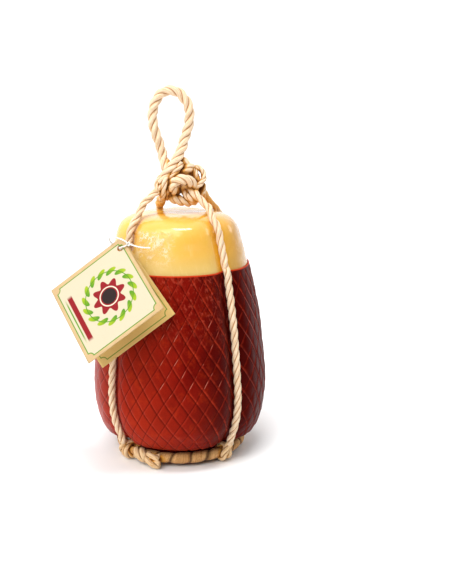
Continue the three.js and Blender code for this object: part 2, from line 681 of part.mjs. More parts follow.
const [frontLeft, rise, loop, fall, backLeft] = firstCord();
const [frontRight, second, backRight] = secondCord();
const legs = [frontLeft, frontRight, backRight, backLeft];
legs.forEach((points, i) => {
  const geometry = rope(points, i === 0 ? pinchedDiameter : cordDiameter);
  caciocavallo.add(mesh(`rope_${LEG_NAMES[i]}`, geometry, ROPE_COLOUR, 0.9));
});
caciocavallo.add(mesh('rope_loop', rope(loop, cordDiameter), ROPE_COLOUR, 0.9));
caciocavallo.add(mesh('rope_knot', knotGeometry([rise, fall, second]), ROPE_COLOUR, 0.9));
caciocavallo.add(mesh('rope_ring', ringGeometry(), ROPE_COLOUR, 0.9));
caciocavallo.add(mesh('tag', tagGeometry(), '#f6e6c4', 0.7));
caciocavallo.add(mesh('tag_string', stringGeometry(frontLeft), '#f2efe8', 0.8));

export default caciocavallo;
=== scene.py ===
"""A caciocavallo in a rope sling, dressed for the render.

Lengths are in millimetres until a mesh is made. Azimuths are degrees from the front, + to the right.
"""

import math

import bpy
import numpy as np
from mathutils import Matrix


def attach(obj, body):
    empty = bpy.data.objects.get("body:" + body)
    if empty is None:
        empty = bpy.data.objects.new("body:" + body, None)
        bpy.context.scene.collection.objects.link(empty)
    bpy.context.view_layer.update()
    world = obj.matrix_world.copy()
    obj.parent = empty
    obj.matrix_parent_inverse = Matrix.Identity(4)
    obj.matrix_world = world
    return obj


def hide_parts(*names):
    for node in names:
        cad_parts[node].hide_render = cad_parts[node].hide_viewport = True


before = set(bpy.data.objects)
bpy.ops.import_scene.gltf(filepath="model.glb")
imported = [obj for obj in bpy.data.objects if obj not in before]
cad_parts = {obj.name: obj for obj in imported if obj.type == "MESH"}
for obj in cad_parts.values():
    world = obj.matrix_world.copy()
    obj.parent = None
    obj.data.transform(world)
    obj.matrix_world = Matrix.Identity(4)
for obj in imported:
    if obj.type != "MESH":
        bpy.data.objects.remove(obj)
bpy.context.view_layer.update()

MM = 0.001

# ---------- The object's own sizes, as in the CAD ----------

CLEARANCE = 0.3
CASING_WALL = 0.8
LEG_AZIMUTHS = np.array([-53.0, 41.5, 129.0, 203.0])  # of the rope's four legs
GROOVE_WIDTH = 9.0
SIDE_SAG = np.array([0.0, 0.5, 0.5, 0.96])  # of the side after each leg
LEG_DIAMETER = 5.8
LOOP_DIAMETER = 7.8
LEG_GAP = 0.6  # between a leg and the bottom of its groove
ROPE_LAY = 25.0  # length of one turn of the strands
LEG_FOOT = [(58.5, 22.0), (56.6, 15.2)]  # radius and height

# Each row: radius, height, depth of the ropes' grooves, sag outward and sag downward.
CASING_PROFILE = np.array([
    (38, 0, 2.5, 0, 0), (41, 1, 3.6, 0, 0), (42.7, 5, 4.6, 0, 0), (43.3, 9, 5, 0, 0),
    (46, 12.6, 5.8, 0, 0), (51.5, 14.2, 6.6, 2, 6), (56, 17, 6.8, 3, 7), (61, 24, 6.8, 3, 5),
    (65, 31, 6.8, 2, 2), (67.8, 41, 7, 0.8, 0), (68.9, 54, 7, 0, 0), (68.1, 71, 7, 0, 0),
    (66.3, 90, 6.9, 0, 0), (63.7, 110, 6.6, 0, 0), (60.2, 128, 6, 0, 0), (57.2, 141, 5.4, 0, 0),
    (54.9, 151.3, 4.6, 0, 0),
])
BARE_PROFILE = np.array([
    (53.6, 151.9, 4.6, 0, 0), (51.6, 159, 4.6, 0, 0), (49.6, 167, 4.8, 0, 0), (47.9, 175, 5.4, 0, 0),
    (46.4, 179.6, 4.9, 0, 0), (44, 183.6, 4.8, 0, 0), (40.8, 186.3, 4.1, 0, 0), (36.5, 188.3, 2.8, 0, 0),
    (31, 189.6, 1.2, 0, 0), (22, 190.6, 0.5, 0, 0), (11, 191, 0, 0, 0),
])
TOP_CENTRE = 191.1

# The first cord goes from the front left leg through the knot, the hanging loop and the knot again to the
# back left leg. The second goes from the front right leg over behind the knot to the back right leg.
FIRST_RISE = [
    (-26, -19, 199.5), (-20.3, -17.5, 204.8), (-17.3, -16, 207.3), (-14.9, -15, 209.8),
    (-13.3, -14.3, 213.1), (-11.6, -13.5, 216.7), (-9, -12.5, 220.7), (-5.7, -11.5, 224.9),
    (-1.8, -9, 230),
]
HANGING_LOOP = [
    (1.6, -5.5, 235.9), (3.8, -2, 240.9), (5.4, 0, 246.9), (7.7, 0.5, 252.9), (9.3, 0, 261.9),
    (8.6, 0, 270.8), (5.3, 0, 276.7), (0.5, 0, 281.1), (-4.7, 0, 282.2), (-10.4, 0, 280.9),
    (-14.6, 0, 276.7), (-17.3, 0, 270.8), (-18.6, 0, 261.9), (-17.2, 0, 253), (-15.2, 0.5, 247),
    (-13, 1, 240),
]
FIRST_FALL = [
    (-10.9, -0.5, 232.4), (-9.5, -4.5, 228.1), (-8.5, -7.2, 223.2), (-8.9, -7.6, 218.2),
    (-10, -5.5, 212.9), (-11, -1, 207.7), (-12.1, 3, 203.2), (-13.2, 7.5, 199.4), (-14.1, 12, 196.4),
    (-14.9, 18, 194.7),
]
SECOND_CORD = [
    (22.6, -21.8, 196.8), (19.2, -18.5, 199.6), (15.9, -16.5, 203.1), (12.4, -14, 206.1),
    (8.7, -10, 208.2), (5.3, -6, 209.3), (2.3, -1, 210.6), (0.4, 4, 213.9), (-0.3, 4, 218.5),
    (0.2, 1, 223), (1.7, -2, 227.1), (3.8, -4, 229.2), (6.1, -4, 227.3), (7.4, -2, 223.7),
    (8.4, 1, 219.9), (9.3, 3, 216.3), (11.2, 3, 212.4), (13.9, 2, 209.4), (16.9, 2, 207.1),
    (20.2, 5, 203.2), (23.3, 10, 198.6), (25.4, 15.5, 195.3),
]
# The knot's other turns: diameter, length of one turn of the strands, and points.
KNOT_ROPES = [
    (8.2, 20, [
        (11, -6, 208.1), (11.4, -10, 211.6), (9.4, -14.5, 215.2), (5.7, -17, 217.3), (1.7, -17.5, 217.4),
        (-1.8, -17, 216.1), (-3.8, -16.5, 213.6), (-4.1, -15, 210.6), (-2.3, -10, 208.3),
        (0.3, -4, 207.9),
    ]),
    (8, 16, [
        (-4.6, -4, 208.3), (-5.2, -7, 205.7), (-3.7, -10, 203), (0.2, -11.5, 201.3), (5.2, -11.5, 200.3),
        (9.7, -10, 199.9), (13.4, -7, 201.1), (15.6, -3, 203.5),
    ]),
    (5.2, 15, [
        (3, -6, 210.1), (4.9, -11, 207.2), (7.1, -14.5, 204.3), (10.4, -14.5, 202.2), (13.5, -11, 201.1),
        (15.7, -6, 201.9),
    ]),
    (8.4, 22, [
        (3.4, 4, 203.4), (6.1, 4, 205), (8.1, 4, 208.4), (8.9, 4, 213.8), (6.3, 4, 218.5),
    ]),
    (7, 20, [
        (-0.7, -1, 219.8), (1.6, -5, 221.6), (5, -8, 222.6), (8.3, -7.5, 224.8), (10.5, -4, 225),
        (11.6, -1, 221.7), (12.2, 1, 217.2), (12.3, 2, 212.9),
    ]),
    (4.6, 17, [
        (11.2, -2, 224.8), (12.3, -4, 224.2), (13.3, -5.5, 221.4), (14.3, -6.5, 218),
        (15.4, -6.5, 214.2), (16.8, -4, 210.1), (18.4, 0, 206.5),
    ]),
    (4.4, 17, [
        (12, -3, 224.5), (15.2, -4, 225), (18, -4.5, 223.1), (19.6, -5.5, 219.4), (19.3, -7.5, 216.2),
        (17.1, -10, 213.5), (14, -11.5, 210.7), (11.3, -11, 207.6), (9, -9, 205.1),
    ]),
    (4.4, 17, [
        (18, -3, 212.7), (19.5, -5, 210.6), (19.1, -6.5, 207.3), (16.7, -7.5, 204.8), (14, -7, 203.6),
    ]),
    (4.8, 26, [
        (-8.4, -14, 218.2), (-9.6, -17.5, 216.4), (-10.5, -18, 212.7), (-11.2, -16, 208),
        (-11.9, -10, 203), (-12.6, -4, 200),
    ]),
    (4.2, 26, [
        (-6.5, -12, 215.8), (-7.4, -14, 213), (-8, -13, 209.1), (-8.4, -9, 204.8), (-9.1, -3, 201.1),
    ]),
    (3.8, 20, [
        (-12.8, -14, 219.8), (-14.9, -15, 216.9), (-15.9, -16, 214), (-15.7, -17, 210.8),
        (-15.1, -16, 207.6),
    ]),
    (5, 20, [
        (2.7, -9, 228.9), (0.3, -11.5, 224.9), (-3.1, -13, 221.1), (-5.9, -13.5, 217.4),
        (-7.9, -12, 214.1),
    ]),
]

RING_RADIUS, RING_HEIGHT, RING_DIAMETER, RING_LUMPS = 48.2, 7, 8.4, 24
HITCH_RADIUS, HITCH_HEIGHT, HITCH_HALF_ANGLE, HITCH_TURNS = 50, 8, 13, 1.625
NECK_DIAMETER, WRAP_DIAMETER, HITCH_DIAMETER = 5.5, 5.2, 5.8  # ring in a hitch, pitch and rope of a hitch
# The cut tail: points, diameter and strands of its root and its two tips.
CUT_TAIL = [
    ([(-34, -37.5, 8.4), (-30, -42.5, 8), (-26, -46.5, 7.2)], 10.2, 3),
    ([(-26.5, -46.5, 8.4), (-22, -49.5, 8.9), (-17, -51, 8.6)], 6.8, 2),
    ([(-27, -47, 5.6), (-21.5, -51, 4.6), (-16.6, -53.4, 3.7)], 7, 2),
]

TAG_FOLD, TAG_LEAF = 67.0, 69.7  # length of the fold, and breadth of a leaf
TAG_CARD = 0.4
TAG_HOLE = (5.4, 7.0, 1.85)  # down along the fold, away from it, and radius
TAG_MARGIN = 3.1  # from the edge to the border line
TAG_BITE, TAG_TOP_BITE = 3.4, 2.2  # radius of the line's round notch at a corner, and at the one by the hole
WREATH_RADIUS, WREATH_LEAVES, WREATH_DOWN = 19.5, 15, 3.5
ROSETTE_RADIUS, ROSETTE_WAVE, ROSETTE_POINTS = 11.6, 2.2, 8.0
ROSETTE_RING, ROSETTE_CENTRE = 7.4, 6.0
BAND, BAND_LINE = (27.0, 2.0, 0.1), (30.9, 0.5, 0.03)  # place below, half height, its share of half length
# The fold's ends, and the free corner at the lower end of each leaf.
TAG_TOP = np.array([-41.4, -38.0, 177.7])
TAG_LOW = np.array([-95.0, -36.6, 137.2])
TAG_FRONT = np.array([-11.0, -84.6, 135.9])
TAG_BACK = np.array([-3.1, -64.9, 126.1])

STRING_DIAMETER = 1.1
STRING_HEIGHT = 171.0
STRING_KNOT = (-36.5, -45.2, 174.0)
STRING_FREE_END = [
    (-20.5, -49.5, 171.8), (-25.2, -49.2, 171.9), (-30.0, -48.0, 172.5), (-34.0, -46.3, 173.4),
]
STRING_BOW = [
    (-39.6, -44.2, 176.2), (-42.5, -43.2, 177.4), (-45.7, -41.4, 178.2), (-49.1, -38.7, 178.3),
    (-51.0, -36.0, 176.7), (-50.4, -33.5, 173.6), (-47.6, -32.5, 170.6),
]
STRING_OVER_EDGE = (-39.2, -45.4, 172.4)

# ---------- Lines, noise and meshes ----------

TINY = 1e-6
SPLINE_SAMPLES = 24  # between two given points
LATTICE = 32
LATTICE_SHIFT = 100.5  # keeps places on the lattice positive


def between(t, low, high, start, end):
    return (high - t) / (high - low) * start + (t - low) / (high - low) * end


def smooth_line(points, step, closed=False, dims=3):
    """A centripetal Catmull-Rom line through the points, at equal steps along its first dims numbers."""
    p = np.asarray(points, float)
    if closed:
        p = np.vstack([p[-1:], p, p[:2]])
    else:
        p = np.vstack([2 * p[:1] - p[1:2], p, 2 * p[-1:] - p[-2:-1]])
    dense = []
    for a, b, c, d in zip(p, p[1:], p[2:], p[3:]):
        gaps = [max(np.linalg.norm((y - x)[:dims]), TINY) ** 0.5 for x, y in ((a, b), (b, c), (c, d))]
        t0, t1, t2, t3 = np.cumsum([0.0, *gaps])
        t = np.linspace(t1, t2, SPLINE_SAMPLES, endpoint=False)[:, None]
        ab, bc, cd = between(t, t0, t1, a, b), between(t, t1, t2, b, c), between(t, t2, t3, c, d)
        dense.append(between(t, t1, t2, between(t, t0, t2, ab, bc), between(t, t1, t3, bc, cd)))
    dense = np.vstack([*dense, p[-2:-1]])
    walked = np.concatenate([[0.0], np.cumsum(np.linalg.norm(np.diff(dense[:, :dims], axis=0), axis=1))])
    count = max(3, round(walked[-1] / step))
    at = np.linspace(0, walked[-1], count + 1)[: count if closed else None]
    return np.stack([np.interp(at, walked, column) for column in dense.T], -1)


def noise(points, size, seed):
    """Smooth noise from -1 to 1, whose lumps are about size across."""
    lattice = np.random.default_rng(seed).uniform(-1, 1, (LATTICE, LATTICE, LATTICE))
    p = np.asarray(points, float) / size + LATTICE_SHIFT
    cell = np.floor(p).astype(int)
    f = p - cell
    f = f * f * (3 - 2 * f)
    total = 0
    for corner in np.ndindex(2, 2, 2):
        weight = np.prod(np.where(corner, f, 1 - f), axis=-1)
        i, j, k = np.moveaxis((cell + corner) % LATTICE, -1, 0)
        total = total + weight * lattice[i, j, k]
    return total


def fade(values, low, high):
    """Smoothly from 0, at low and below, to 1, at high and above."""
    share = np.clip((values - low) / (high - low), 0, 1)
    return share * share * (3 - 2 * share)


def unit(vectors):
    return vectors / np.maximum(np.linalg.norm(vectors, axis=-1, keepdims=True), TINY)


def quads(rows, columns, closed_rows=False):
    """Faces over rows of points. Every row closes on itself. Corners: here, next column, both, next row."""
    row = np.arange(rows if closed_rows else rows - 1)[:, None]
    column = np.arange(columns)[None]
    here, above = row * columns, (row + 1) % rows * columns
    following = (column + 1) % columns
    faces = [here + column, here + following, above + following, above + column]
    return np.stack(np.broadcast_arrays(*faces), -1).reshape(-1, 4)


def fan(centre, ring, flip=False):
    """Triangles from the centre's point to a closed ring of points."""
    following = np.roll(ring, -1)
    corners = (following, ring) if flip else (ring, following)
    return np.stack([np.full(len(ring), centre), *corners], -1)


def end_fans(count, rows, columns):
    """Triangles that close the first and the last row, to two more points after count points."""
    ring = np.arange(columns)
    return np.vstack([fan(count, ring, flip=True), fan(count + 1, (rows - 1) * columns + ring)])


def piece(name, points, faces, triangles, material, slot, nodes=(), at_corners=None, at_points=None):
    """Makes a smooth mesh object from points in millimetres, which rides on the body and replaces the nodes.

    at_corners and at_points are the values that the material reads, at the faces' corners and at the points.
    """
    mesh = bpy.data.meshes.new(name)
    faces = np.asarray(faces, int).reshape(-1, 4)
    triangles = np.asarray(triangles, int).reshape(-1, 3)
    mesh.vertices.add(len(points))
    mesh.vertices.foreach_set("co", (np.asarray(points) * MM).astype(np.float32).ravel())
    corners = np.concatenate([faces.ravel(), triangles.ravel()])
    mesh.loops.add(len(corners))
    mesh.loops.foreach_set("vertex_index", corners.astype(np.int32))
    mesh.polygons.add(len(faces) + len(triangles))
    starts = np.concatenate([np.arange(len(faces)) * 4, faces.size + np.arange(len(triangles)) * 3])
    mesh.polygons.foreach_set("loop_start", starts.astype(np.int32))
    mesh.update(calc_edges=True)
    mesh.shade_smooth()
    for key, values in (at_corners or {}).items():
        full = np.zeros(len(corners), np.float32)
        full[: faces.size] = np.asarray(values).ravel()
        mesh.attributes.new(key, "FLOAT", "CORNER").data.foreach_set("value", full)
    for key, values in (at_points or {}).items():
        values = np.asarray(values, np.float32).ravel()
        mesh.attributes.new(key, "FLOAT", "POINT").data.foreach_set("value", values)
    made = bpy.data.objects.new(name, mesh)
    bpy.context.scene.collection.objects.link(made)
    mesh.materials.append(material)
    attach(made, "root")
    if nodes:
        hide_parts(*nodes)


# ---------- Materials ----------


class Number:
    """A number in a material's nodes, with arithmetic."""

    def __init__(self, finish, socket):
        self.finish, self.socket = finish, socket

    def __add__(self, other):
        return self.finish.math("ADD", self, other)

    def __sub__(self, other):
        return self.finish.math("SUBTRACT", self, other)

    def __rsub__(self, other):
        return self.finish.math("SUBTRACT", other, self)

    def __mul__(self, other):
        return self.finish.math("MULTIPLY", self, other)

    def abs(self):
        return self.finish.math("ABSOLUTE", self)

    def max(self, other):
        return self.finish.math("MAXIMUM", self, other)

    def fraction(self):
        return self.finish.math("FRACT", self)

    def rise(self, low, high, start=0.0, end=1.0):
        """Smoothly from start, at low and below, to end, at high and above."""
        inputs = {"Value": self, "From Min": low, "From Max": high, "To Min": start, "To Max": end}
        return Number(self.finish, self.finish.node("MapRange", inputs, interpolation_type="SMOOTHSTEP")[0])


class Nodes:
    """Adds nodes to the tree of a material or world."""

    def __init__(self, owner):
        owner.use_nodes = True
        self.tree = owner.node_tree

    def feed(self, slot, value):
        if isinstance(value, Number):
            value = value.socket
        if isinstance(value, bpy.types.NodeSocket):
            self.tree.links.new(value, slot)
        else:
            slot.default_value = value

    def node(self, kind, inputs=(), **settings):
        """The outputs of a new node with these settings, and with its inputs fed by name or number."""
        node = self.tree.nodes.new("ShaderNode" + kind)
        for key, value in settings.items():
            setattr(node, key, value)
        for key, value in dict(inputs).items():
            self.feed(node.inputs[key], value)
        return node.outputs


class Finish(Nodes):
    """A material: a Principled shader, with what varies over the surface fed by nodes."""

    def __init__(self, name, **settings):
        self.material = bpy.data.materials.new(name)
        super().__init__(self.material)
        self.shader = self.tree.nodes["Principled BSDF"]
        for key, value in settings.items():
            self.shader.inputs[key.replace("_", " ")].default_value = value

    def drive(self, name, value):
        """Feeds the shader's input of that name."""
        self.feed(self.shader.inputs[name], value)

    def math(self, operation, *values):
        return Number(self, self.node("Math", enumerate(values), operation=operation)[0])

    def distance(self, across, up):
        return self.math("POWER", across * across + up * up, 0.5)

    def attribute(self, name):
        return Number(self, self.node("Attribute", attribute_name=name)["Fac"])

    def place(self):
        """Where the point is, in millimetres."""
        spot = self.node("TexCoord")["Object"]
        return self.node("VectorMath", {0: spot, "Scale": 1 / MM}, operation="SCALE")[0]

    def split(self, vector):
        return [Number(self, socket) for socket in self.node("SeparateXYZ", {0: vector})]

    def join(self, *parts):
        return self.node("CombineXYZ", enumerate(parts))[0]

    def noise(self, where, size, detail=2.0, roughness=0.5):
        """Noise about 0 to 1, with lumps about size across."""
        inputs = {"Vector": where, "Scale": 1 / size, "Detail": detail, "Roughness": roughness}
        return Number(self, self.node("TexNoise", inputs)["Fac"])

    def blend(self, share, under, over):
        """The colour under, covered by the colour over as share goes from 0 to 1."""
        return self.node("Mix", {0: share, 6: under, 7: over}, data_type="RGBA")[2]

    def cover(self, colour, *layers):
        """The colour under layers, each of which is a share from 0 to 1 and a colour."""
        for share, over in layers:
            colour = self.blend(share, colour, over)
        return colour

    def bump(self, height, depth, *also):
        """Relief of that height share, times depth in millimetres, for the normal and also other sockets."""
        normal = self.node("Bump", {"Strength": 1.0, "Distance": depth * MM, "Height": height})["Normal"]
        for name in ("Normal", *also):
            self.drive(name, normal)


def srgb(*levels):
    """A colour given in the 0 to 255 numbers of a picture."""
    shares = [level / 255 for level in levels]
    return *(c / 12.92 if c <= 0.04045 else ((c + 0.055) / 1.055) ** 2.4 for c in shares), 1.0


def rind_finish():
    finish = Finish(
        "rind", Coat_Weight=1.0, Coat_Roughness=0.13, Specular_IOR_Level=0.12,
        Subsurface_Weight=0.2, Subsurface_Scale=0.005, Subsurface_Radius=(1.0, 0.9, 0.5),
    )
    place = finish.place()
    x, y, z = finish.split(place)
    clouds = finish.noise(place, 34.0, 2.0)
    # the crackled patch at the front left, under the shoulder, with white flecks of painted highlight on its
    # ridges
    cracked = x.rise(-34.0, -26.0) * x.rise(0.0, -12.0) * y.rise(0.0, -4.0)
    cracked = cracked * z.rise(152.0, 174.0) * z.rise(183.5, 180.0)
    ridge = (finish.noise(place, 5.5, 4.0, 0.72) - 0.5).abs().rise(0.05, 0.01) * cracked
    painted_glint_share = ridge * finish.noise(place, 7.0, 2.0).rise(0.42, 0.62, 0.1, 0.75)
    streaks = finish.noise(finish.join(x * 0.3 + y * 0.3, z * 0.05), 1.0, 3.0, 0.6)
    colour = finish.cover(
        srgb(237, 191, 93),
        (clouds.rise(0.35, 0.7), srgb(231, 181, 76)),
        (x.rise(-20.0, 30.0, 0.0, 0.5), srgb(229, 168, 58)),  # painted shade: deeper to the right
        (z.rise(172.0, 148.0, 0.0, 0.8), srgb(208, 186, 120)),  # paler towards the casing
        (x.rise(26.0, 46.0, 0.0, 0.7), srgb(186, 132, 52)),  # painted shade: the right lobe, darker
        # painted shade: deeper orange down in the ropes' grooves
        (finish.attribute("groove").rise(0.3, 0.95, 0.0, 0.85), srgb(236, 172, 34)),
        # painted highlight: white flecks on the crackle's ridges
        (painted_glint_share, srgb(255, 246, 220)),
        (streaks.rise(0.55, 0.75, 0.0, 0.2), srgb(252, 232, 178)),
    )
    finish.drive("Base Color", colour)
    finish.drive("Roughness", finish.noise(place, 11.0, 3.0, 0.6).rise(0.4, 0.7, 0.22, 0.34))
    crackle = finish.noise(place, 2.6, 4.0, 0.65) * (cracked * 1.3 + 0.06)
    finish.bump(crackle + ridge * 0.5 + finish.noise(place, 9.0, 1.0) * 0.35, 0.5, "Coat Normal")
    return finish.material


def casing_finish():
    finish = Finish("casing", Roughness=0.42, Specular_Tint=(1.0, 0.55, 0.48, 1.0))
    place = finish.place()
    x, y, z = finish.split(place)
    # 0 to 1 from one line of the net to the next, across each family of lines
    falling = finish.attribute("net_falling").fraction()
    rising = finish.attribute("net_rising").fraction()
    broken = finish.noise(place, 9.0, 3.0, 0.65)
    grain = finish.noise(place, 1.1, 3.0, 0.6)
    slanted = finish.join(x * 0.55 + z * 0.2, y * 0.55, z * 0.28 - x * 0.1)
    flecks = finish.noise(slanted, 1.3, 2.0, 0.6)
    # painted light: lighter low down, as bounce from the floor, and on the left lobe, as sheen
    painted_light_low_left = z.rise(85.0, 20.0) * 0.28 + x.rise(10.0, -40.0) * 0.42
    front = y.rise(36.0, 0.0)
    middle = x.rise(-34.0, -12.0) * x.rise(44.0, 22.0) * front
    wrinkled = middle * z.rise(92.0, 122.0)
    # painted light on the lit edge of each falling line's groove
    bright = falling.rise(0.2, 0.03) * x.rise(44.0, 54.0, 1.0, 0.4) * broken.rise(0.35, 0.65, 0.1, 0.55)
    # where the rising lines catch painted highlights
    pale = rising.rise(0.07, 0.03) * falling.rise(0.1, 0.3) * falling.rise(0.85, 0.6)
    chosen = finish.noise(place, 13.0, 1.0).rise(0.48, 0.6) * z.rise(56.0, 70.0) * z.rise(132.0, 112.0)
    # where the lines at the far right catch painted highlights
    far = x.rise(46.0, 56.0) * y.rise(8.0, -8.0) * falling.rise(0.1, 0.03)
    # painted shade for the dark side of each line's groove
    painted_groove_shade = srgb(62, 2, 1)
    colour = finish.cover(
        srgb(102, 7, 3),
        (finish.noise(place, 20.0, 3.0, 0.6).rise(0.3, 0.7), srgb(126, 17, 7)),
        # painted light low down and on the left lobe
        (painted_light_low_left, srgb(174, 46, 22)),
        (broken.rise(0.5, 0.72, 0.0, 0.5), srgb(170, 46, 14)),
        (x.rise(-4.0, 40.0, 0.0, 0.88) * front, srgb(56, 1, 0)),  # painted shade, darker to the right
        (z.rise(24.0, 14.0, 0.0, 0.5), srgb(90, 8, 4)),  # and painted shade at the foot, under the bulge
        # painted shade beside each falling line
        (falling.rise(0.8, 0.98) * 0.6, painted_groove_shade),
        # painted light: the lit edge of each falling line
        (bright, srgb(180, 54, 30)),
        # painted shade beside each rising line
        (rising.rise(0.86, 0.98) * 0.55, painted_groove_shade),
        # painted light: a broken lit edge on each rising line
        (rising.rise(0.16, 0.03) * broken.rise(0.6, 0.4, 0.05, 0.3), srgb(170, 50, 32)),
        (pale * middle * chosen * 0.6, srgb(204, 118, 98)),  # painted highlight: short pale glints on the rising lines
        # painted highlight: small lighter flecks on the wrinkles at the top middle
        (flecks.rise(0.52, 0.68) * wrinkled * 0.36, srgb(182, 70, 50)),
        (grain.rise(0.6, 0.78, 0.0, 0.4), srgb(66, 4, 3)),
        (far * z.rise(80.0, 120.0, 0.1, 0.45), srgb(206, 140, 132)),  # painted highlight: pale glints on the lines at the far right
        (z.rise(150.2, 151.0, 0.0, 0.85), srgb(206, 62, 28)),  # the bright rim
    )
    finish.drive("Base Color", colour)
    finish.drive("Specular IOR Level", x.rise(-48.0, -60.0, 0.05, 0.42))
    finish.bump(grain * 0.4 + finish.noise(place, 3.5, 2.0) * 0.5 + flecks * wrinkled * 3.0, 0.4)
    return finish.material


def rope_finish(name, pale, tan, deep):
    finish = Finish(name, Sheen_Weight=0.08, Sheen_Roughness=0.5, Specular_IOR_Level=0.12)
    place = finish.place()
    y, z = finish.split(place)[1:]
    across, along = finish.attribute("across"), finish.attribute("along")
    shelter = finish.attribute("shelter")
    fibres = finish.noise(finish.join(across * 5.0 + along * 0.35, along * 0.16), 1.0, 3.0, 0.65)
    bundles = finish.noise(finish.join(across * 1.6 + along * 0.1, along * 0.07, 3.0), 1.0, 1.0)
    # painted light from the rind, at the back where the legs meet the cheese's top
    painted_rind_glow = y.rise(-2.0, 6.0) * z.rise(186.0, 191.0) * z.rise(214.0, 202.0)
    colour = finish.cover(
        pale,
        (fibres.rise(0.42, 0.68), tan),
        (finish.noise(place, 16.0, 2.0).rise(0.5, 0.8, 0.0, 0.35), tan),
        (across.abs().rise(0.68, 0.98) * 0.85, deep),  # painted shade in the creases between the strands
        # painted shade: golden brown where other cords close by hide the light, deep brown where they crowd
        (shelter.rise(0.1, 1.2, 0.0, 0.9), srgb(214, 152, 60)),
        (shelter.rise(1.0, 2.4, 0.0, 0.85), srgb(140, 80, 20)),
        (painted_rind_glow * 0.75, srgb(222, 160, 56)),  # painted light: the rind's golden glow on the back legs where they meet the cheese's top
    )
    finish.drive("Base Color", colour)
    finish.drive("Roughness", fibres.rise(0.3, 0.7, 0.62, 0.85))
    finish.bump(fibres * 0.6 + bundles, 0.45)
    return finish.material


def card_finish():
    """Cream card with a tan margin, a notched border line and, outside, a rosette in a wreath over a band."""
    finish = Finish("card", Roughness=0.55, Specular_IOR_Level=0.2)
    x, y = finish.attribute("card_x"), finish.attribute("card_y")
    place = finish.place()
    speck = finish.noise(place, 0.8, 2.0, 0.7)
    cloud = finish.noise(place, 9.0, 3.0, 0.6)
    # from the leaf's middle, away from the fold and down along it
    side, down = y.abs() - TAG_LEAF / 2, x - TAG_FOLD / 2
    corner_side = side.abs() - (TAG_LEAF / 2 - TAG_MARGIN)
    corner_down = down.abs() - (TAG_FOLD / 2 - TAG_MARGIN)
    bite = (x + y.abs()).rise(10.0, 24.0, TAG_TOP_BITE, TAG_BITE)
    edge = corner_side.max(corner_down).max(bite - finish.distance(corner_side, corner_down))
    field = edge.rise(0.15, -0.15)
    line = edge.abs().rise(0.5, 0.28)

    def inked(shape, ink):
        """A layer of ink where shape, the distance out from the edge of a figure, is below 0."""
        return shape.rise(0.16, -0.16) * field, ink

    def bar(below, half_height, narrowing):
        return (up + below).abs().max(side.abs() * narrowing) - half_height

    up = -WREATH_DOWN - down
    radius = finish.distance(side, up)
    turn = finish.math("ARCTAN2", side, up)
    pitch = 2 * math.pi * WREATH_RADIUS / WREATH_LEAVES
    tangent = ((turn * (WREATH_LEAVES / (2 * math.pi))).fraction() - 0.5) * pitch
    off = radius - WREATH_RADIUS
    length, breadth = tangent * 0.8 + off * 0.6, off * 0.8 - tangent * 0.6
    leaf = length * length * 0.045 + breadth * breadth * 0.28 - 1.0
    petals = finish.math("COSINE", turn * ROSETTE_POINTS) * ROSETTE_WAVE
    hole_side, hole_down = y.abs() - TAG_HOLE[1], x - TAG_HOLE[0]
    rim = finish.distance(hole_side, hole_down) - TAG_HOLE[2]
    green, red = srgb(82, 138, 22), srgb(138, 10, 22)
    outside = finish.cover(
        finish.blend(cloud.rise(0.3, 0.7), srgb(195, 163, 118), srgb(201, 172, 128)),
        (field, finish.blend(speck.rise(0.58, 0.75, 0.0, 0.5), srgb(207, 194, 166), srgb(197, 180, 144))),
        inked(leaf, finish.blend(length.rise(-4.0, 4.0), green, srgb(150, 174, 22))),
        inked(off.abs() - 0.35, green),  # the stem through the leaves
        inked(radius - petals - ROSETTE_RADIUS, red),
        inked((radius - ROSETTE_RING).abs() - 0.45, srgb(226, 214, 190)),
        inked(radius - ROSETTE_CENTRE, srgb(36, 20, 18)),
        inked(bar(*BAND), red),
        inked(bar(*BAND_LINE), green),
        (rim.rise(0.75, 0.45), srgb(150, 92, 52)),
        (line, srgb(94, 140, 42)),
    )
    # painted shade: the inside faces, the same cream card, coloured a darker tan for the shade between the
    # leaves
    inside = finish.cover(
        srgb(216, 182, 112),
        (speck.rise(0.5, 0.75, 0.0, 0.4), srgb(196, 158, 90)),
        (line, srgb(120, 140, 60)),
    )
    finish.drive("Base Color", finish.blend(finish.attribute("card_inside"), outside, inside))
    finish.bump(speck, 0.05)
    return finish.material


def string_finish():
    finish = Finish("string", Sheen_Weight=0.2, IOR=1.4)
    across, along = finish.attribute("across"), finish.attribute("along")
    fibres = finish.noise(finish.join(across * 3.0, along * 0.6), 1.0, 2.0)
    finish.drive("Base Color", finish.blend(fibres.rise(0.4, 0.7), srgb(250, 249, 246), srgb(236, 232, 224)))
    finish.drive("Roughness", fibres.rise(0.3, 0.7, 0.7, 0.85))
    finish.bump(fibres, 0.15)
    return finish.material


RIND = rind_finish()
CASING = casing_finish()
ROPE = rope_finish("rope", srgb(240, 216, 186), srgb(220, 182, 136), srgb(170, 106, 42))
HITCH = rope_finish("hitch_rope", srgb(232, 200, 156), srgb(206, 160, 104), srgb(120, 74, 30))
RING = rope_finish("ring_rope", srgb(210, 162, 106), srgb(166, 112, 58), srgb(70, 38, 14))
CARD = card_finish()
STRING = string_finish()

# ---------- The cheese and its casing ----------


def groove_share(azimuth, radius):
    """How deep in a rope's groove the places of the wall are, from 0 to 1."""
    away = (azimuth[..., None] - LEG_AZIMUTHS + 180) % 360 - 180
    sideways = radius[..., None] * np.radians(away)
    return np.exp(-((sideways / GROOVE_WIDTH) ** 2)).max(-1)


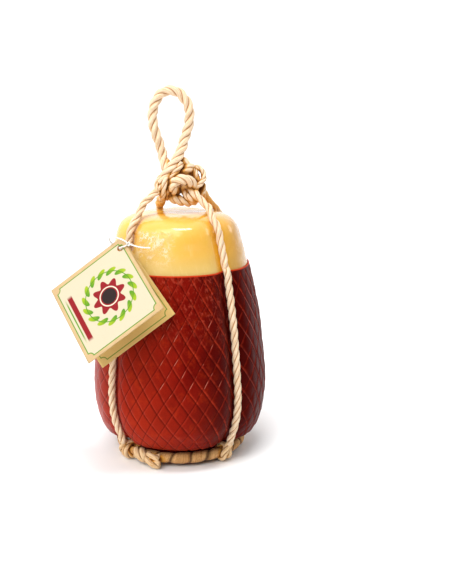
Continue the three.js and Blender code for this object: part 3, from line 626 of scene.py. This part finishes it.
def sag_share(azimuth):
    """How far the side between two ropes sags at the foot, from 0 to 1."""
    turn = (azimuth - LEG_AZIMUTHS[0]) % 360
    starts = LEG_AZIMUTHS - LEG_AZIMUTHS[0]
    ends = np.append(starts[1:], 360)
    lobe = np.searchsorted(starts, turn, side="right") - 1
    across = (turn - starts[lobe]) / (ends[lobe] - starts[lobe])
    return SIDE_SAG[lobe] * np.sin(np.pi * across) ** 2


def on_wall(rows, azimuth):
    """Points of the wall and how deep they are in a groove.

    There is a row of them for each profile row, and azimuth has as many rows, or one for all.
    """
    radius, height, groove, sag_out, sag_down = (column[:, None] for column in rows.T)
    azimuth = np.broadcast_to(azimuth, (len(rows), azimuth.shape[-1]))
    sag = sag_share(azimuth)
    share = groove_share(azimuth, np.broadcast_to(radius, azimuth.shape))
    r = radius + sag_out * sag - groove * share
    angle = np.radians(azimuth)
    return np.stack([r * np.sin(angle), -r * np.cos(angle), height - sag_down * sag], -1), share


def inset_profile(profile, distance):
    ahead = np.vstack([profile[1:], profile[-1:]])
    behind = np.vstack([profile[:1], profile[:-1]])
    way = unit((ahead - behind)[:, :2])
    moved = profile.copy()
    moved[:, 0] -= way[:, 1] * distance
    moved[:, 1] += way[:, 0] * distance
    moved[0, 1] = profile[0, 1] + distance
    return moved


def grid_normals(points):
    """Outward normals of rows of points that close on themselves."""
    sideways = np.roll(points, -1, axis=1) - np.roll(points, 1, axis=1)
    return unit(np.cross(sideways, np.gradient(points, axis=0)))


NET_LINES = 38  # of each family, round the casing
NET_CELL = 18.0  # height of a cell, along the wall
CELL_STEPS = 18
NET_RELIEF, NET_SUNK = 1.3, 0.8  # height of the cells, and how far all of it lies inside the wall
RIM_BEAD = 0.25


def net_pillow(falling, rising):
    """The height of a cell from 0 to 1: steep at the lines, then sloping away from them."""
    pillow = (1 - np.exp(-falling / 0.07)) * (1 - 0.75 * falling**1.5)
    return pillow * ((1 - 0.6 * np.exp(-rising / 0.07)) * (1 - 0.5 * rising**2))


def make_casing():
    rows = smooth_line(CASING_PROFILE, NET_CELL / CELL_STEPS, dims=2)
    count, columns = len(rows), NET_LINES * CELL_STEPS
    row = np.arange(count)[:, None]
    column = np.arange(columns)[None]
    even = column * 360.0 / columns
    straight = on_wall(rows, even)[0]
    azimuth = even + 0.9 * noise(straight, size=30.0, seed=1) + 0.35 * noise(straight, size=9.0, seed=2)
    points = on_wall(rows, azimuth)[0]
    normals = grid_normals(points)
    pillow = net_pillow((column + row) / CELL_STEPS % 1, (column - row) / CELL_STEPS % 1)
    strength = 0.8 + 0.4 * noise(points, size=24.0, seed=3)
    foot = np.clip((rows[:, 1] - 2) / 10, 0, 1)[:, None]
    rim = np.clip((count - 1 - row) / 3.0, 0, 1)
    relief = NET_RELIEF * pillow * strength * foot
    lumps = 0.5 * noise(points, size=26.0, seed=4) + 0.22 * noise(points, size=8.0, seed=5)
    points = points + normals * ((relief - NET_SUNK + lumps * foot) * rim)[..., None]
    points[0, :, 2] = 0.0
    inner = on_wall(inset_profile(rows, CASING_WALL), even)[0]
    inner[0, :, 2] = CASING_WALL
    bead = (points[-1] + inner[-1]) / 2
    bead[:, 2] = np.maximum(points[-1, :, 2], inner[-1, :, 2]) + RIM_BEAD
    stack = np.concatenate([points, bead[None], inner[::-1]])
    faces = quads(len(stack), columns)
    total = stack.reshape(-1, 3)
    centres = np.array([[0, 0, 0.0], [0, 0, CASING_WALL]])
    # the net's places at the corners of the outer faces. Elsewhere is the middle of a cell.
    outer_faces = (count - 1) * columns
    face_row, face_column = np.divmod(np.arange(outer_faces), columns)
    corner_rows = np.stack([face_row, face_row, face_row + 1, face_row + 1], -1)
    corner_columns = np.stack([face_column, face_column + 1, face_column + 1, face_column], -1)
    values = {"net_falling": np.full((len(faces), 4), 0.5), "net_rising": np.full((len(faces), 4), 0.5)}
    values["net_falling"][:outer_faces] = (corner_columns + corner_rows) / CELL_STEPS
    values["net_rising"][:outer_faces] = (corner_columns - corner_rows) / CELL_STEPS + 100
    everything, ends = np.vstack([total, centres]), end_fans(len(total), len(stack), columns)
    piece("casing_net", everything, faces, ends, CASING, "casing", ["casing"], values)


RIND_COLUMNS, RIND_STEP, COVERED_STEP = 480, 0.9, 3.0
TOP_ROWS = [(5.5, 190.9, 0, 0, 0), (0.6, TOP_CENTRE, 0, 0, 0)]


def make_cheese():
    covered = smooth_line(inset_profile(CASING_PROFILE, CASING_WALL + CLEARANCE), COVERED_STEP, dims=2)
    bare = np.vstack([covered[-1:], BARE_PROFILE, TOP_ROWS])
    rows = np.vstack([covered, smooth_line(bare, RIND_STEP, dims=2)[1:]])
    azimuth = np.arange(RIND_COLUMNS)[None] * 360.0 / RIND_COLUMNS
    points, share = on_wall(rows, azimuth)
    normals = grid_normals(points)
    shown = np.clip((points[..., 2] - 153) / 6, 0, 1)
    off_centre = np.clip(np.hypot(points[..., 0], points[..., 1]) / 12, 0, 1)
    dents = 0.55 * noise(points, size=19.0, seed=11) + 0.22 * noise(points, size=7.5, seed=12)
    points = points + normals * (dents * shown * off_centre)[..., None]
    foot = CASING_WALL + CLEARANCE
    points[0, :, 2] = foot
    total = points.reshape(-1, 3)
    everything = np.vstack([total, [[0, 0, foot], [0, 0, TOP_CENTRE]]])
    faces = quads(len(rows), RIND_COLUMNS)
    ends = end_fans(len(total), len(rows), RIND_COLUMNS)
    # how deep in a groove each point lies, which the rind reads for its painted shade in the grooves
    groove = {"groove": np.append(share.ravel(), [0, 0])}
    piece("cheese_body", everything, faces, ends, RIND, "cheese", ["cheese"], at_points=groove)


make_casing()
make_cheese()

# ---------- Rope ----------


def frames_along(line, closed=False):
    """Unit normals and binormals carried along a line without twisting."""
    if closed:
        tangent = unit(np.roll(line, -1, axis=0) - np.roll(line, 1, axis=0))
    else:
        tangent = unit(np.gradient(line, axis=0))
    start = np.eye(3)[np.argmin(np.abs(tangent[0]))]
    normals = [unit(np.cross(tangent[0], np.cross(start, tangent[0])))]
    for way in tangent[1:]:
        normals.append(unit(normals[-1] - way * (normals[-1] @ way)))
    normals = np.array(normals)
    if closed:
        way = tangent[0]
        end = normals[-1] - way * (normals[-1] @ way)
        slip = math.atan2(np.cross(end, normals[0]) @ way, end @ normals[0])
        turn = slip * np.arange(len(line))[:, None] / len(line)
        normals = normals * np.cos(turn) + np.cross(tangent, normals) * np.sin(turn)
    return normals, np.cross(tangent, normals)


def sweep(line, angle, radius, closed=False):
    """Points of a section carried along a line: angle and radius have a row for each point of the line."""
    normals, binormals = frames_along(line, closed)
    out = normals[:, None] * np.cos(angle)[..., None] + binormals[:, None] * np.sin(angle)[..., None]
    return line[:, None] + out * radius[..., None]


SHELTER_REACH, SHELTER_WIDTH = 9, 6.2


def sheltered(points, outward, lines):
    """How far the points of cords face other cords close by, whose centre lines have these points."""
    total = np.zeros(len(points))
    for centre in lines:
        near = np.flatnonzero(np.abs(points - centre).max(1) < SHELTER_REACH)
        towards = centre - points[near]
        distance = np.maximum(np.linalg.norm(towards, axis=1), TINY)
        facing = np.maximum((towards * outward[near]).sum(1) / distance, 0)
        total[near] += facing * np.exp(-((distance / SHELTER_WIDTH) ** 2))
    # faces turned down in the knot get more, for painted shade under its turns
    under_knot = fade(-points[:, 2], -210, -200) * (points[:, 2] > 194)
    return total + 0.8 * under_knot * np.maximum(-outward[:, 2], 0)


class Joined:
    """Several closed skins collected into one piece."""

    def __init__(self):
        self.points, self.faces, self.triangles, self.across, self.along = [], [], [], [], []
        self.lines, self.outward = [], []
        self.count = 0

    def add(self, line, stack, across, along, closed=False):
        """Adds the skin through stack, which has a row of points round each point of the line.

        across is two values for each column, at the face's left and right. along is one for each row.
        """
        rows, columns = stack.shape[:2]
        face_rows = rows if closed else rows - 1
        ahead = np.append(along[1:], along[-1] * 2 - along[-2]) if closed else along[1:]
        left, right, behind, ahead = (
            np.broadcast_to(values, (face_rows, columns))
            for values in (*across, along[:face_rows, None], ahead[:, None])
        )
        self.across.append(np.stack([left, right, right, left], -1).reshape(-1, 4))
        self.along.append(np.stack([behind, behind, ahead, ahead], -1).reshape(-1, 4))
        self.lines.append(line[::3])
        self.points.append(stack.reshape(-1, 3))
        self.outward.append(unit(stack - line[:, None]).reshape(-1, 3))
        self.faces.append(quads(rows, columns, closed) + self.count)
        if not closed:
            self.triangles.append(end_fans(rows * columns, rows, columns) + self.count)
            self.points.append(np.stack([stack[0].mean(0), stack[-1].mean(0)]))
            self.outward.append(np.zeros((2, 3)))
            self.count += 2
        self.count += rows * columns

    def finish(self, name, material, slot, nodes=(), near=()):
        """Makes the piece. near are the lines of the cords that also shelter it."""
        points, faces = np.vstack(self.points), np.vstack(self.faces)
        triangles = np.vstack(self.triangles) if self.triangles else []
        strands = {"across": np.vstack(self.across), "along": np.vstack(self.along)}
        shelter = {"shelter": sheltered(points, np.vstack(self.outward), np.vstack([*self.lines, *near]))}
        piece(name, points, faces, triangles, material, slot, nodes, strands, shelter)


ROPE_STEP = 0.6
STRAND_POINTS = 12
STRAND_OFFSET, STRAND_RADIUS = 0.43, 0.57  # as shares of the rope's radius
YARN_DEPTH, YARN_LENGTH, SWELLING = 0.022, 4.5, 0.035


def add_rope(into, line, diameter, strands=3, lay=ROPE_LAY, seed=0):
    """Laid rope along a line of points at equal steps. diameter is a number, or one for each point."""
    diameter = np.broadcast_to(diameter, len(line)).astype(float)
    along = np.arange(len(line)) * np.linalg.norm(line[1] - line[0])
    half = math.pi / strands
    local = np.linspace(-half, half, STRAND_POINTS, endpoint=False)
    shape = STRAND_OFFSET * np.cos(local) + np.sqrt(STRAND_RADIUS**2 - (STRAND_OFFSET * np.sin(local)) ** 2)
    shape = np.tile(shape / shape.max(), strands)[None]
    turn = seed + 2 * math.pi * along / lay
    angle = turn[:, None] + np.concatenate([local + 2 * half * k for k in range(strands)])[None]
    yarn = np.tile(local / half, strands)[None]
    yarns = YARN_DEPTH * np.cos(math.pi * (4 * yarn + along[:, None] / YARN_LENGTH)) * (1 - yarn**2)
    strand = np.repeat(np.arange(strands), STRAND_POINTS)[None]
    places = np.broadcast_arrays(strand * 7.7 + seed * 3.1, along[:, None] / 6, 0.0)
    swell = 1 + SWELLING * noise(np.stack(places, -1), size=1.0, seed=21)
    stack = sweep(line, angle, diameter[:, None] / 2 * (shape * swell + yarns))
    left = np.tile(-1 + 2 * np.arange(STRAND_POINTS) / STRAND_POINTS, strands)[None]
    into.add(line, stack, (left, left + 2 / STRAND_POINTS), along + 40 * seed)


def at_azimuth(azimuth, radius, height, sideways=0.0):
    angle = math.radians(azimuth) + sideways / radius
    return np.array([radius * math.sin(angle), -radius * math.cos(angle), height])


def leg_points(azimuth):
    """Points of a rope up the cheese's side in its groove, from the ring to the shoulder."""
    profile = np.vstack([CASING_PROFILE, BARE_PROFILE])
    sunk = profile.copy()
    sunk[:, 0] -= profile[:, 2]
    lifted = inset_profile(sunk, -(LEG_DIAMETER / 2 + LEG_GAP))
    keep = (lifted[:, 1] > LEG_FOOT[0][1] + 4) & (np.arange(len(lifted)) >= 8) & (sunk[:, 0] > 34)
    foot = [at_azimuth(azimuth, radius, height) for radius, height in reversed(LEG_FOOT)]
    return foot + [at_azimuth(azimuth, row[0], row[1]) for row in lifted[keep]]


def rope_diameter(line):
    """Tight and thin on the cheese, slack and thick in the knot and the hanging loop."""
    off_axis = fade(np.hypot(line[:, 0], line[:, 1]), 17, 25)
    tight = off_axis * (1 - fade(line[:, 2], 208, 216))
    return LOOP_DIAMETER + (LEG_DIAMETER - LOOP_DIAMETER) * tight


def make_cords():
    legs = [leg_points(azimuth) for azimuth in LEG_AZIMUTHS]
    routes = [
        [*legs[0], *FIRST_RISE, *HANGING_LOOP, *FIRST_FALL, *legs[3][::-1]],
        [*legs[1], *SECOND_CORD, *legs[2][::-1]],
    ]
    cords = [Joined() for _ in routes]
    for number, (cord, points) in enumerate(zip(cords, routes)):
        line = smooth_line(points, ROPE_STEP)
        add_rope(cord, line, rope_diameter(line), seed=1 + number)
    knot = Joined()
    for number, (diameter, lay, points) in enumerate(KNOT_ROPES):
        add_rope(knot, smooth_line(points, ROPE_STEP), diameter, lay=lay, seed=3 + number)
    first, second = (cord.lines[0][cord.lines[0][:, 2] > 190] for cord in cords)
    nodes = ["rope_front_left", "rope_back_left", "rope_loop"]
    cords[0].finish("cord_first", ROPE, "rope", nodes, [second, *knot.lines])
    nodes = ["rope_front_right", "rope_back_right"]
    cords[1].finish("cord_second", ROPE, "rope", nodes, [first, *knot.lines])
    knot.finish("knot_turns", ROPE, "rope", ["rope_knot"], [first, second])


def hitch_share(azimuth):
    """How much of a hitch there is at places round the ring, from 0 to 1."""
    away = np.abs((np.asarray(azimuth)[..., None] - LEG_AZIMUTHS + 180) % 360 - 180) / HITCH_HALF_ANGLE
    return np.where(away < 1, np.cos(np.minimum(away, 1) * math.pi / 2) ** 2, 0).max(-1)


RING_SIDES = 40


def make_ring():
    azimuth = np.arange(0, 360, 5.0)
    share = hitch_share(azimuth)
    radius = RING_RADIUS + (HITCH_RADIUS - RING_RADIUS) * share
    height = RING_HEIGHT + (HITCH_HEIGHT - RING_HEIGHT) * share
    centres = [at_azimuth(a, r, z) for a, r, z in zip(azimuth, radius, height)]
    line = smooth_line(centres, ROPE_STEP, closed=True)
    around = np.arange(len(line)) / len(line)
    angle = np.arange(RING_SIDES)[None] * 2 * math.pi / RING_SIDES + np.zeros((len(line), 1))
    wound = around[:, None] * RING_LUMPS + (angle + 0.7 * np.sin(angle)) / (2 * math.pi)
    beside = np.stack([0 * angle, 0 * angle, 6 * np.sin(angle)], -1)
    phase = wound + 0.16 * noise(line[:, None] + beside, size=9.0, seed=31)
    # -1 to 1 across each lump
    inside = 2 * (phase % 1) - 1
    lump = np.floor(phase).astype(int) % (RING_LUMPS + 1)
    size = 1 + 0.05 * np.random.default_rng(5).uniform(-1, 1, RING_LUMPS + 1)[lump]
    arc = np.sqrt(np.clip(1 - np.abs(inside) ** 2.6, 0, 1))
    neck = hitch_share(360 * around)[:, None]
    base = (RING_DIAMETER + (NECK_DIAMETER - RING_DIAMETER) * neck) / 2
    stack = sweep(line, angle, base * size * (0.72 + 0.28 * arc), closed=True)
    following = np.roll(inside, -1, axis=1)
    following = np.where(following < inside - 1, 1.0, following)
    ring = Joined()
    ring.add(line, stack, (inside, following), around * 300, closed=True)
    hitches = make_hitches()
    ring.finish("rope_ring_lumps", RING, "rope", ["rope_ring"], hitches.lines)
    hitches.finish("ring_hitches", HITCH, "rope", [], ring.lines)


def make_hitches():
    """The four hitches on the ring, and the cut tail with its two tips."""
    hitches = Joined()
    reach = (NECK_DIAMETER + WRAP_DIAMETER) / 2 - 0.5
    for number, leg in enumerate(LEG_AZIMUTHS):
        foot_radius, foot_height = LEG_FOOT[-1]
        points = [at_azimuth(leg, foot_radius, foot_height + 1.0)]
        for i in range(int(HITCH_TURNS * 8) + 1):
            turned = -2 * math.pi * i / 8
            sideways = (i / 8 - HITCH_TURNS / 2) * WRAP_DIAMETER * 0.95
            out, up = reach * math.cos(turned), reach * math.sin(turned)
            points.append(at_azimuth(leg, HITCH_RADIUS + out, HITCH_HEIGHT + up, sideways))
        add_rope(hitches, smooth_line(points, ROPE_STEP), HITCH_DIAMETER, seed=5 + number)
    for number, (points, diameter, strands) in enumerate(CUT_TAIL):
        add_rope(hitches, smooth_line(points, ROPE_STEP), diameter, strands=strands, seed=11 + number)
    return hitches


make_cords()
make_ring()

# ---------- Tag and string ----------

FOLD_WAY = unit(TAG_LOW - TAG_TOP)


def leaf_way(corner):
    """The way from the fold to the free edge of the leaf that has this corner."""
    way = corner - TAG_TOP
    return unit(way - FOLD_WAY * (way @ FOLD_WAY))


FRONT_WAY, BACK_WAY = leaf_way(TAG_FRONT), leaf_way(TAG_BACK)
BETWEEN_WAY = unit(FRONT_WAY + BACK_WAY)
CARD_STEP = 0.9
BENT_HALF = 1.5  # of the card on each side of the fold
LEAF_BOW = 0.54


def places_through(middle, before, after, ends):
    """Places of the card's grid lines at equal steps through the middle of a hole, and at the ends."""
    places = [middle - CARD_STEP * np.arange(before), middle + CARD_STEP * np.arange(1, after), ends]
    return np.unique(np.concatenate(places))


def card_places():
    """The card's grid, flat: places down along the fold and, - behind and + in front, away from it.

    The points of the grid that are close to a hole are moved to lie round it.
    """
    hole_x, hole_y, hole_radius = TAG_HOLE
    x = places_through(hole_x, 6, 68, [0, TAG_FOLD])
    x = x[(x >= 0) & (x <= TAG_FOLD)]
    y = places_through(hole_y, 7, 70, [TAG_LEAF])
    y = y[(y > BENT_HALF) & (y <= TAG_LEAF)]
    y = np.concatenate([-y[::-1], np.linspace(-BENT_HALF, BENT_HALF, 7), y])
    gx, gy = np.meshgrid(x, y, indexing="ij")
    px, py = gx.copy(), gy.copy()
    for side in (-1, 1):
        dx, dy = gx - hole_x, gy - side * hole_y
        square = np.maximum(np.abs(dx), np.abs(dy))
        near = (square > 0.1) & (square < 3.2 * CARD_STEP)
        blend = np.clip((square / CARD_STEP - 1) / 2.2, 0, 1)
        round_share = (square / CARD_STEP) * hole_radius / np.maximum(np.hypot(dx, dy), TINY)
        scale = (1 - blend) * round_share + blend
        px = np.where(near, hole_x + dx * scale, px)
        py = np.where(near, side * hole_y + dy * scale, py)
    middle_x = (gx[:-1, :-1] + gx[1:, 1:]).ravel() / 2
    middle_y = (gy[:-1, :-1] + gy[1:, 1:]).ravel() / 2
    off_hole = np.maximum(np.abs(middle_x - hole_x), np.abs(np.abs(middle_y) - hole_y))
    return px, py, off_hole >= CARD_STEP * 0.99


def make_tag():
    px, py, kept = card_places()
    front = np.maximum(py, 0)[..., None] * FRONT_WAY
    back = np.maximum(-py, 0)[..., None] * BACK_WAY
    rounding = np.clip(1 - np.abs(py) / 1.6, 0, 1)[..., None] ** 2
    out_front = np.cross(FOLD_WAY, FRONT_WAY)
    out_front *= -np.sign(out_front[1])
    bow = LEAF_BOW * np.sin(np.pi * np.maximum(py, 0) / TAG_LEAF) * (1 - 0.5 * px / TAG_FOLD)
    middle = TAG_TOP + px[..., None] * FOLD_WAY + front + back - BETWEEN_WAY * (0.3 * rounding)
    middle = middle + bow[..., None] * out_front
    normal = unit(np.cross(np.gradient(middle, axis=0), np.gradient(middle, axis=1)))
    if normal[5, -5] @ out_front < 0:
        normal = -normal
    outer = (middle + normal * TAG_CARD / 2).reshape(-1, 3)
    inner = (middle - normal * TAG_CARD / 2).reshape(-1, 3)
    offset = px.size
    index = np.arange(offset).reshape(px.shape)
    cells = np.stack([index[:-1, :-1], index[1:, :-1], index[1:, 1:], index[:-1, 1:]], -1)
    cells = cells.reshape(-1, 4)[kept]
    a, b, c = cells[len(cells) // 2][:3]
    facing = np.cross(outer[b] - outer[a], outer[c] - outer[b]) @ normal.reshape(-1, 3)[a]
    outward = cells if facing > 0 else cells[:, ::-1]
    # walls along the edges that only one cell uses
    edges = {(a, b): True for cell in outward for a, b in zip(cell, np.roll(cell, -1))}
    a, b = np.array([(a, b) for a, b in edges if (b, a) not in edges]).T
    walls = np.stack([b, a, a + offset, b + offset], -1)
    faces = np.vstack([outward, outward[:, ::-1] + offset, walls])
    used, renumbered = np.unique(faces, return_inverse=True)
    values = {
        "card_x": np.tile(px.ravel(), 2)[used],
        "card_y": np.tile(py.ravel(), 2)[used],
        "card_inside": np.repeat([0.0, 1.0], offset)[used],
    }
    points = np.vstack([outer, inner])[used]
    piece("tag_card", points, renumbered, [], CARD, "card", ["tag"], at_points=values)


STRING_STEP, STRING_LAY = 0.35, 3.0
TIE_ANGLES, TIE_PITCH = np.radians(np.arange(-150, 151, 30)), 0.02 / math.radians(30)


def beside_hole(out):
    """A place on the line through both holes, out from the middle between the leaves."""
    across = unit(np.cross(FOLD_WAY, BETWEEN_WAY))
    return TAG_TOP + FOLD_WAY * TAG_HOLE[0] + BETWEEN_WAY * TAG_HOLE[1] + across * out


def make_string():
    through = [beside_hole(out) for out in (-4.5, 0.0, 3.0)]
    knot = np.array(STRING_KNOT)
    ends = [*STRING_FREE_END, knot, *STRING_BOW, *through, STRING_OVER_EDGE, knot]
    leg = smooth_line([*leg_points(LEG_AZIMUTHS[0]), *FIRST_RISE], 0.5)
    centre = leg[np.argmin(np.abs(leg[:, 2] - STRING_HEIGHT))]
    facing = math.atan2(knot[1] - centre[1], knot[0] - centre[0])
    reach = (LEG_DIAMETER + STRING_DIAMETER) / 2 - 0.3
    tie = [
        centre - np.array([math.cos(facing + a) * reach, math.sin(facing + a) * reach, -TIE_PITCH * a])
        for a in TIE_ANGLES
    ]
    turns = np.linspace(0, 2 * math.pi, 9)[:-1]
    loop = [knot + np.array([math.cos(t), -0.5 + 0.5 * math.sin(2 * t), 1.1 * math.sin(t)]) for t in turns]
    string = Joined()
    parts = [
        (ends, STRING_STEP, 1.2),
        ([knot, *tie, knot + [0.3, 0, -0.4]], STRING_STEP, 1.0),
        (loop, 0.3, 1.1),
    ]
    for number, (points, step, thicker) in enumerate(parts):
        line = smooth_line(points, step)
        add_rope(string, line, STRING_DIAMETER * thicker, strands=2, lay=STRING_LAY, seed=20 + number)
    string.finish("tag_string_tied", STRING, "string", ["tag_string"])


make_tag()
make_string()

# ---------- Floor, light and camera ----------

FLOOR_HALF = 60

floor_mesh = bpy.data.meshes.new("floor")
floor_corners = [(x * FLOOR_HALF, y * FLOOR_HALF, 0) for x, y in ((-1, -1), (1, -1), (1, 1), (-1, 1))]
floor_mesh.from_pydata(floor_corners, [], [(0, 1, 2, 3)])
floor = bpy.data.objects.new("floor", floor_mesh)
bpy.context.scene.collection.objects.link(floor)
floor_mesh.materials.append(Finish("floor_paint", Roughness=0.6, Base_Color=(0.97, 0.97, 0.97, 1)).material)


def add_light(name, kind, strength, rotation, **settings):
    data = bpy.data.lights.new(name, kind)
    data.energy = strength
    for key, value in settings.items():
        setattr(data, key, value)
    light = bpy.data.objects.new(name, data)
    light.rotation_euler = [math.radians(degrees) for degrees in rotation]
    bpy.context.scene.collection.objects.link(light)
    return light


def add_sun(name, azimuth, elevation, strength, spread):
    """A distant soft light. Azimuth is degrees from the front, + to the right."""
    add_light(name, "SUN", strength, (90 - elevation, 0, azimuth), angle=math.radians(spread))


add_sun("key", -38, 46, 1.75, 46)
add_sun("rim", 112, 24, 0.35, 24)
strip = add_light("strip", "AREA", 5.4, (19, 0, 0), shape="RECTANGLE", size=0.46, size_y=0.17)
strip.location = (0.03, -0.29, 1.15)

# a white surround, dark to the front right and bright again at the horizon
world = bpy.data.worlds.new("studio")
sky = Nodes(world)
direction = sky.node("TexCoord")["Generated"]
facing = sky.node("VectorMath", {0: direction, 1: (-0.45, 0.75, 0.5)}, operation="DOT_PRODUCT")["Value"]
height = sky.node("SeparateXYZ", {0: direction})["Z"]
ramp = ("Value", "From Min", "From Max", "To Min", "To Max")
shares = [
    sky.node("MapRange", zip(ramp, values))[0]
    for values in ((facing, -0.6, 0.6, 0.04, 1.1), (height, 0.12, 0.02, 0.0, 1.0))
]
background = world.node_tree.nodes["Background"]
sky.feed(background.inputs["Strength"], sky.node("Math", enumerate(shares), operation="MAXIMUM")[0])
sky.feed(background.inputs["Color"], (1, 1, 1, 1))
bpy.context.scene.world = world

# the camera fitted to the photo, in the photo's pixels: its height, the focal length, and how far the
# cheese stands left of the middle
PHOTO_HEIGHT, FOCAL_LENGTH, LEFT_OF_MIDDLE = 584, 900, 48
camera_data = bpy.data.cameras.new("camera")
camera_data.sensor_width = 36
camera_data.lens = FOCAL_LENGTH / PHOTO_HEIGHT * camera_data.sensor_width
camera = bpy.data.objects.new("camera", camera_data)
camera.location = (0, -0.6928, 0.2928)
camera.rotation_euler = (math.radians(76.5), 0, -math.atan2(LEFT_OF_MIDDLE, FOCAL_LENGTH))
bpy.context.scene.collection.objects.link(camera)
bpy.context.scene.camera = camera
bpy.context.scene.view_settings.view_transform = "Standard"
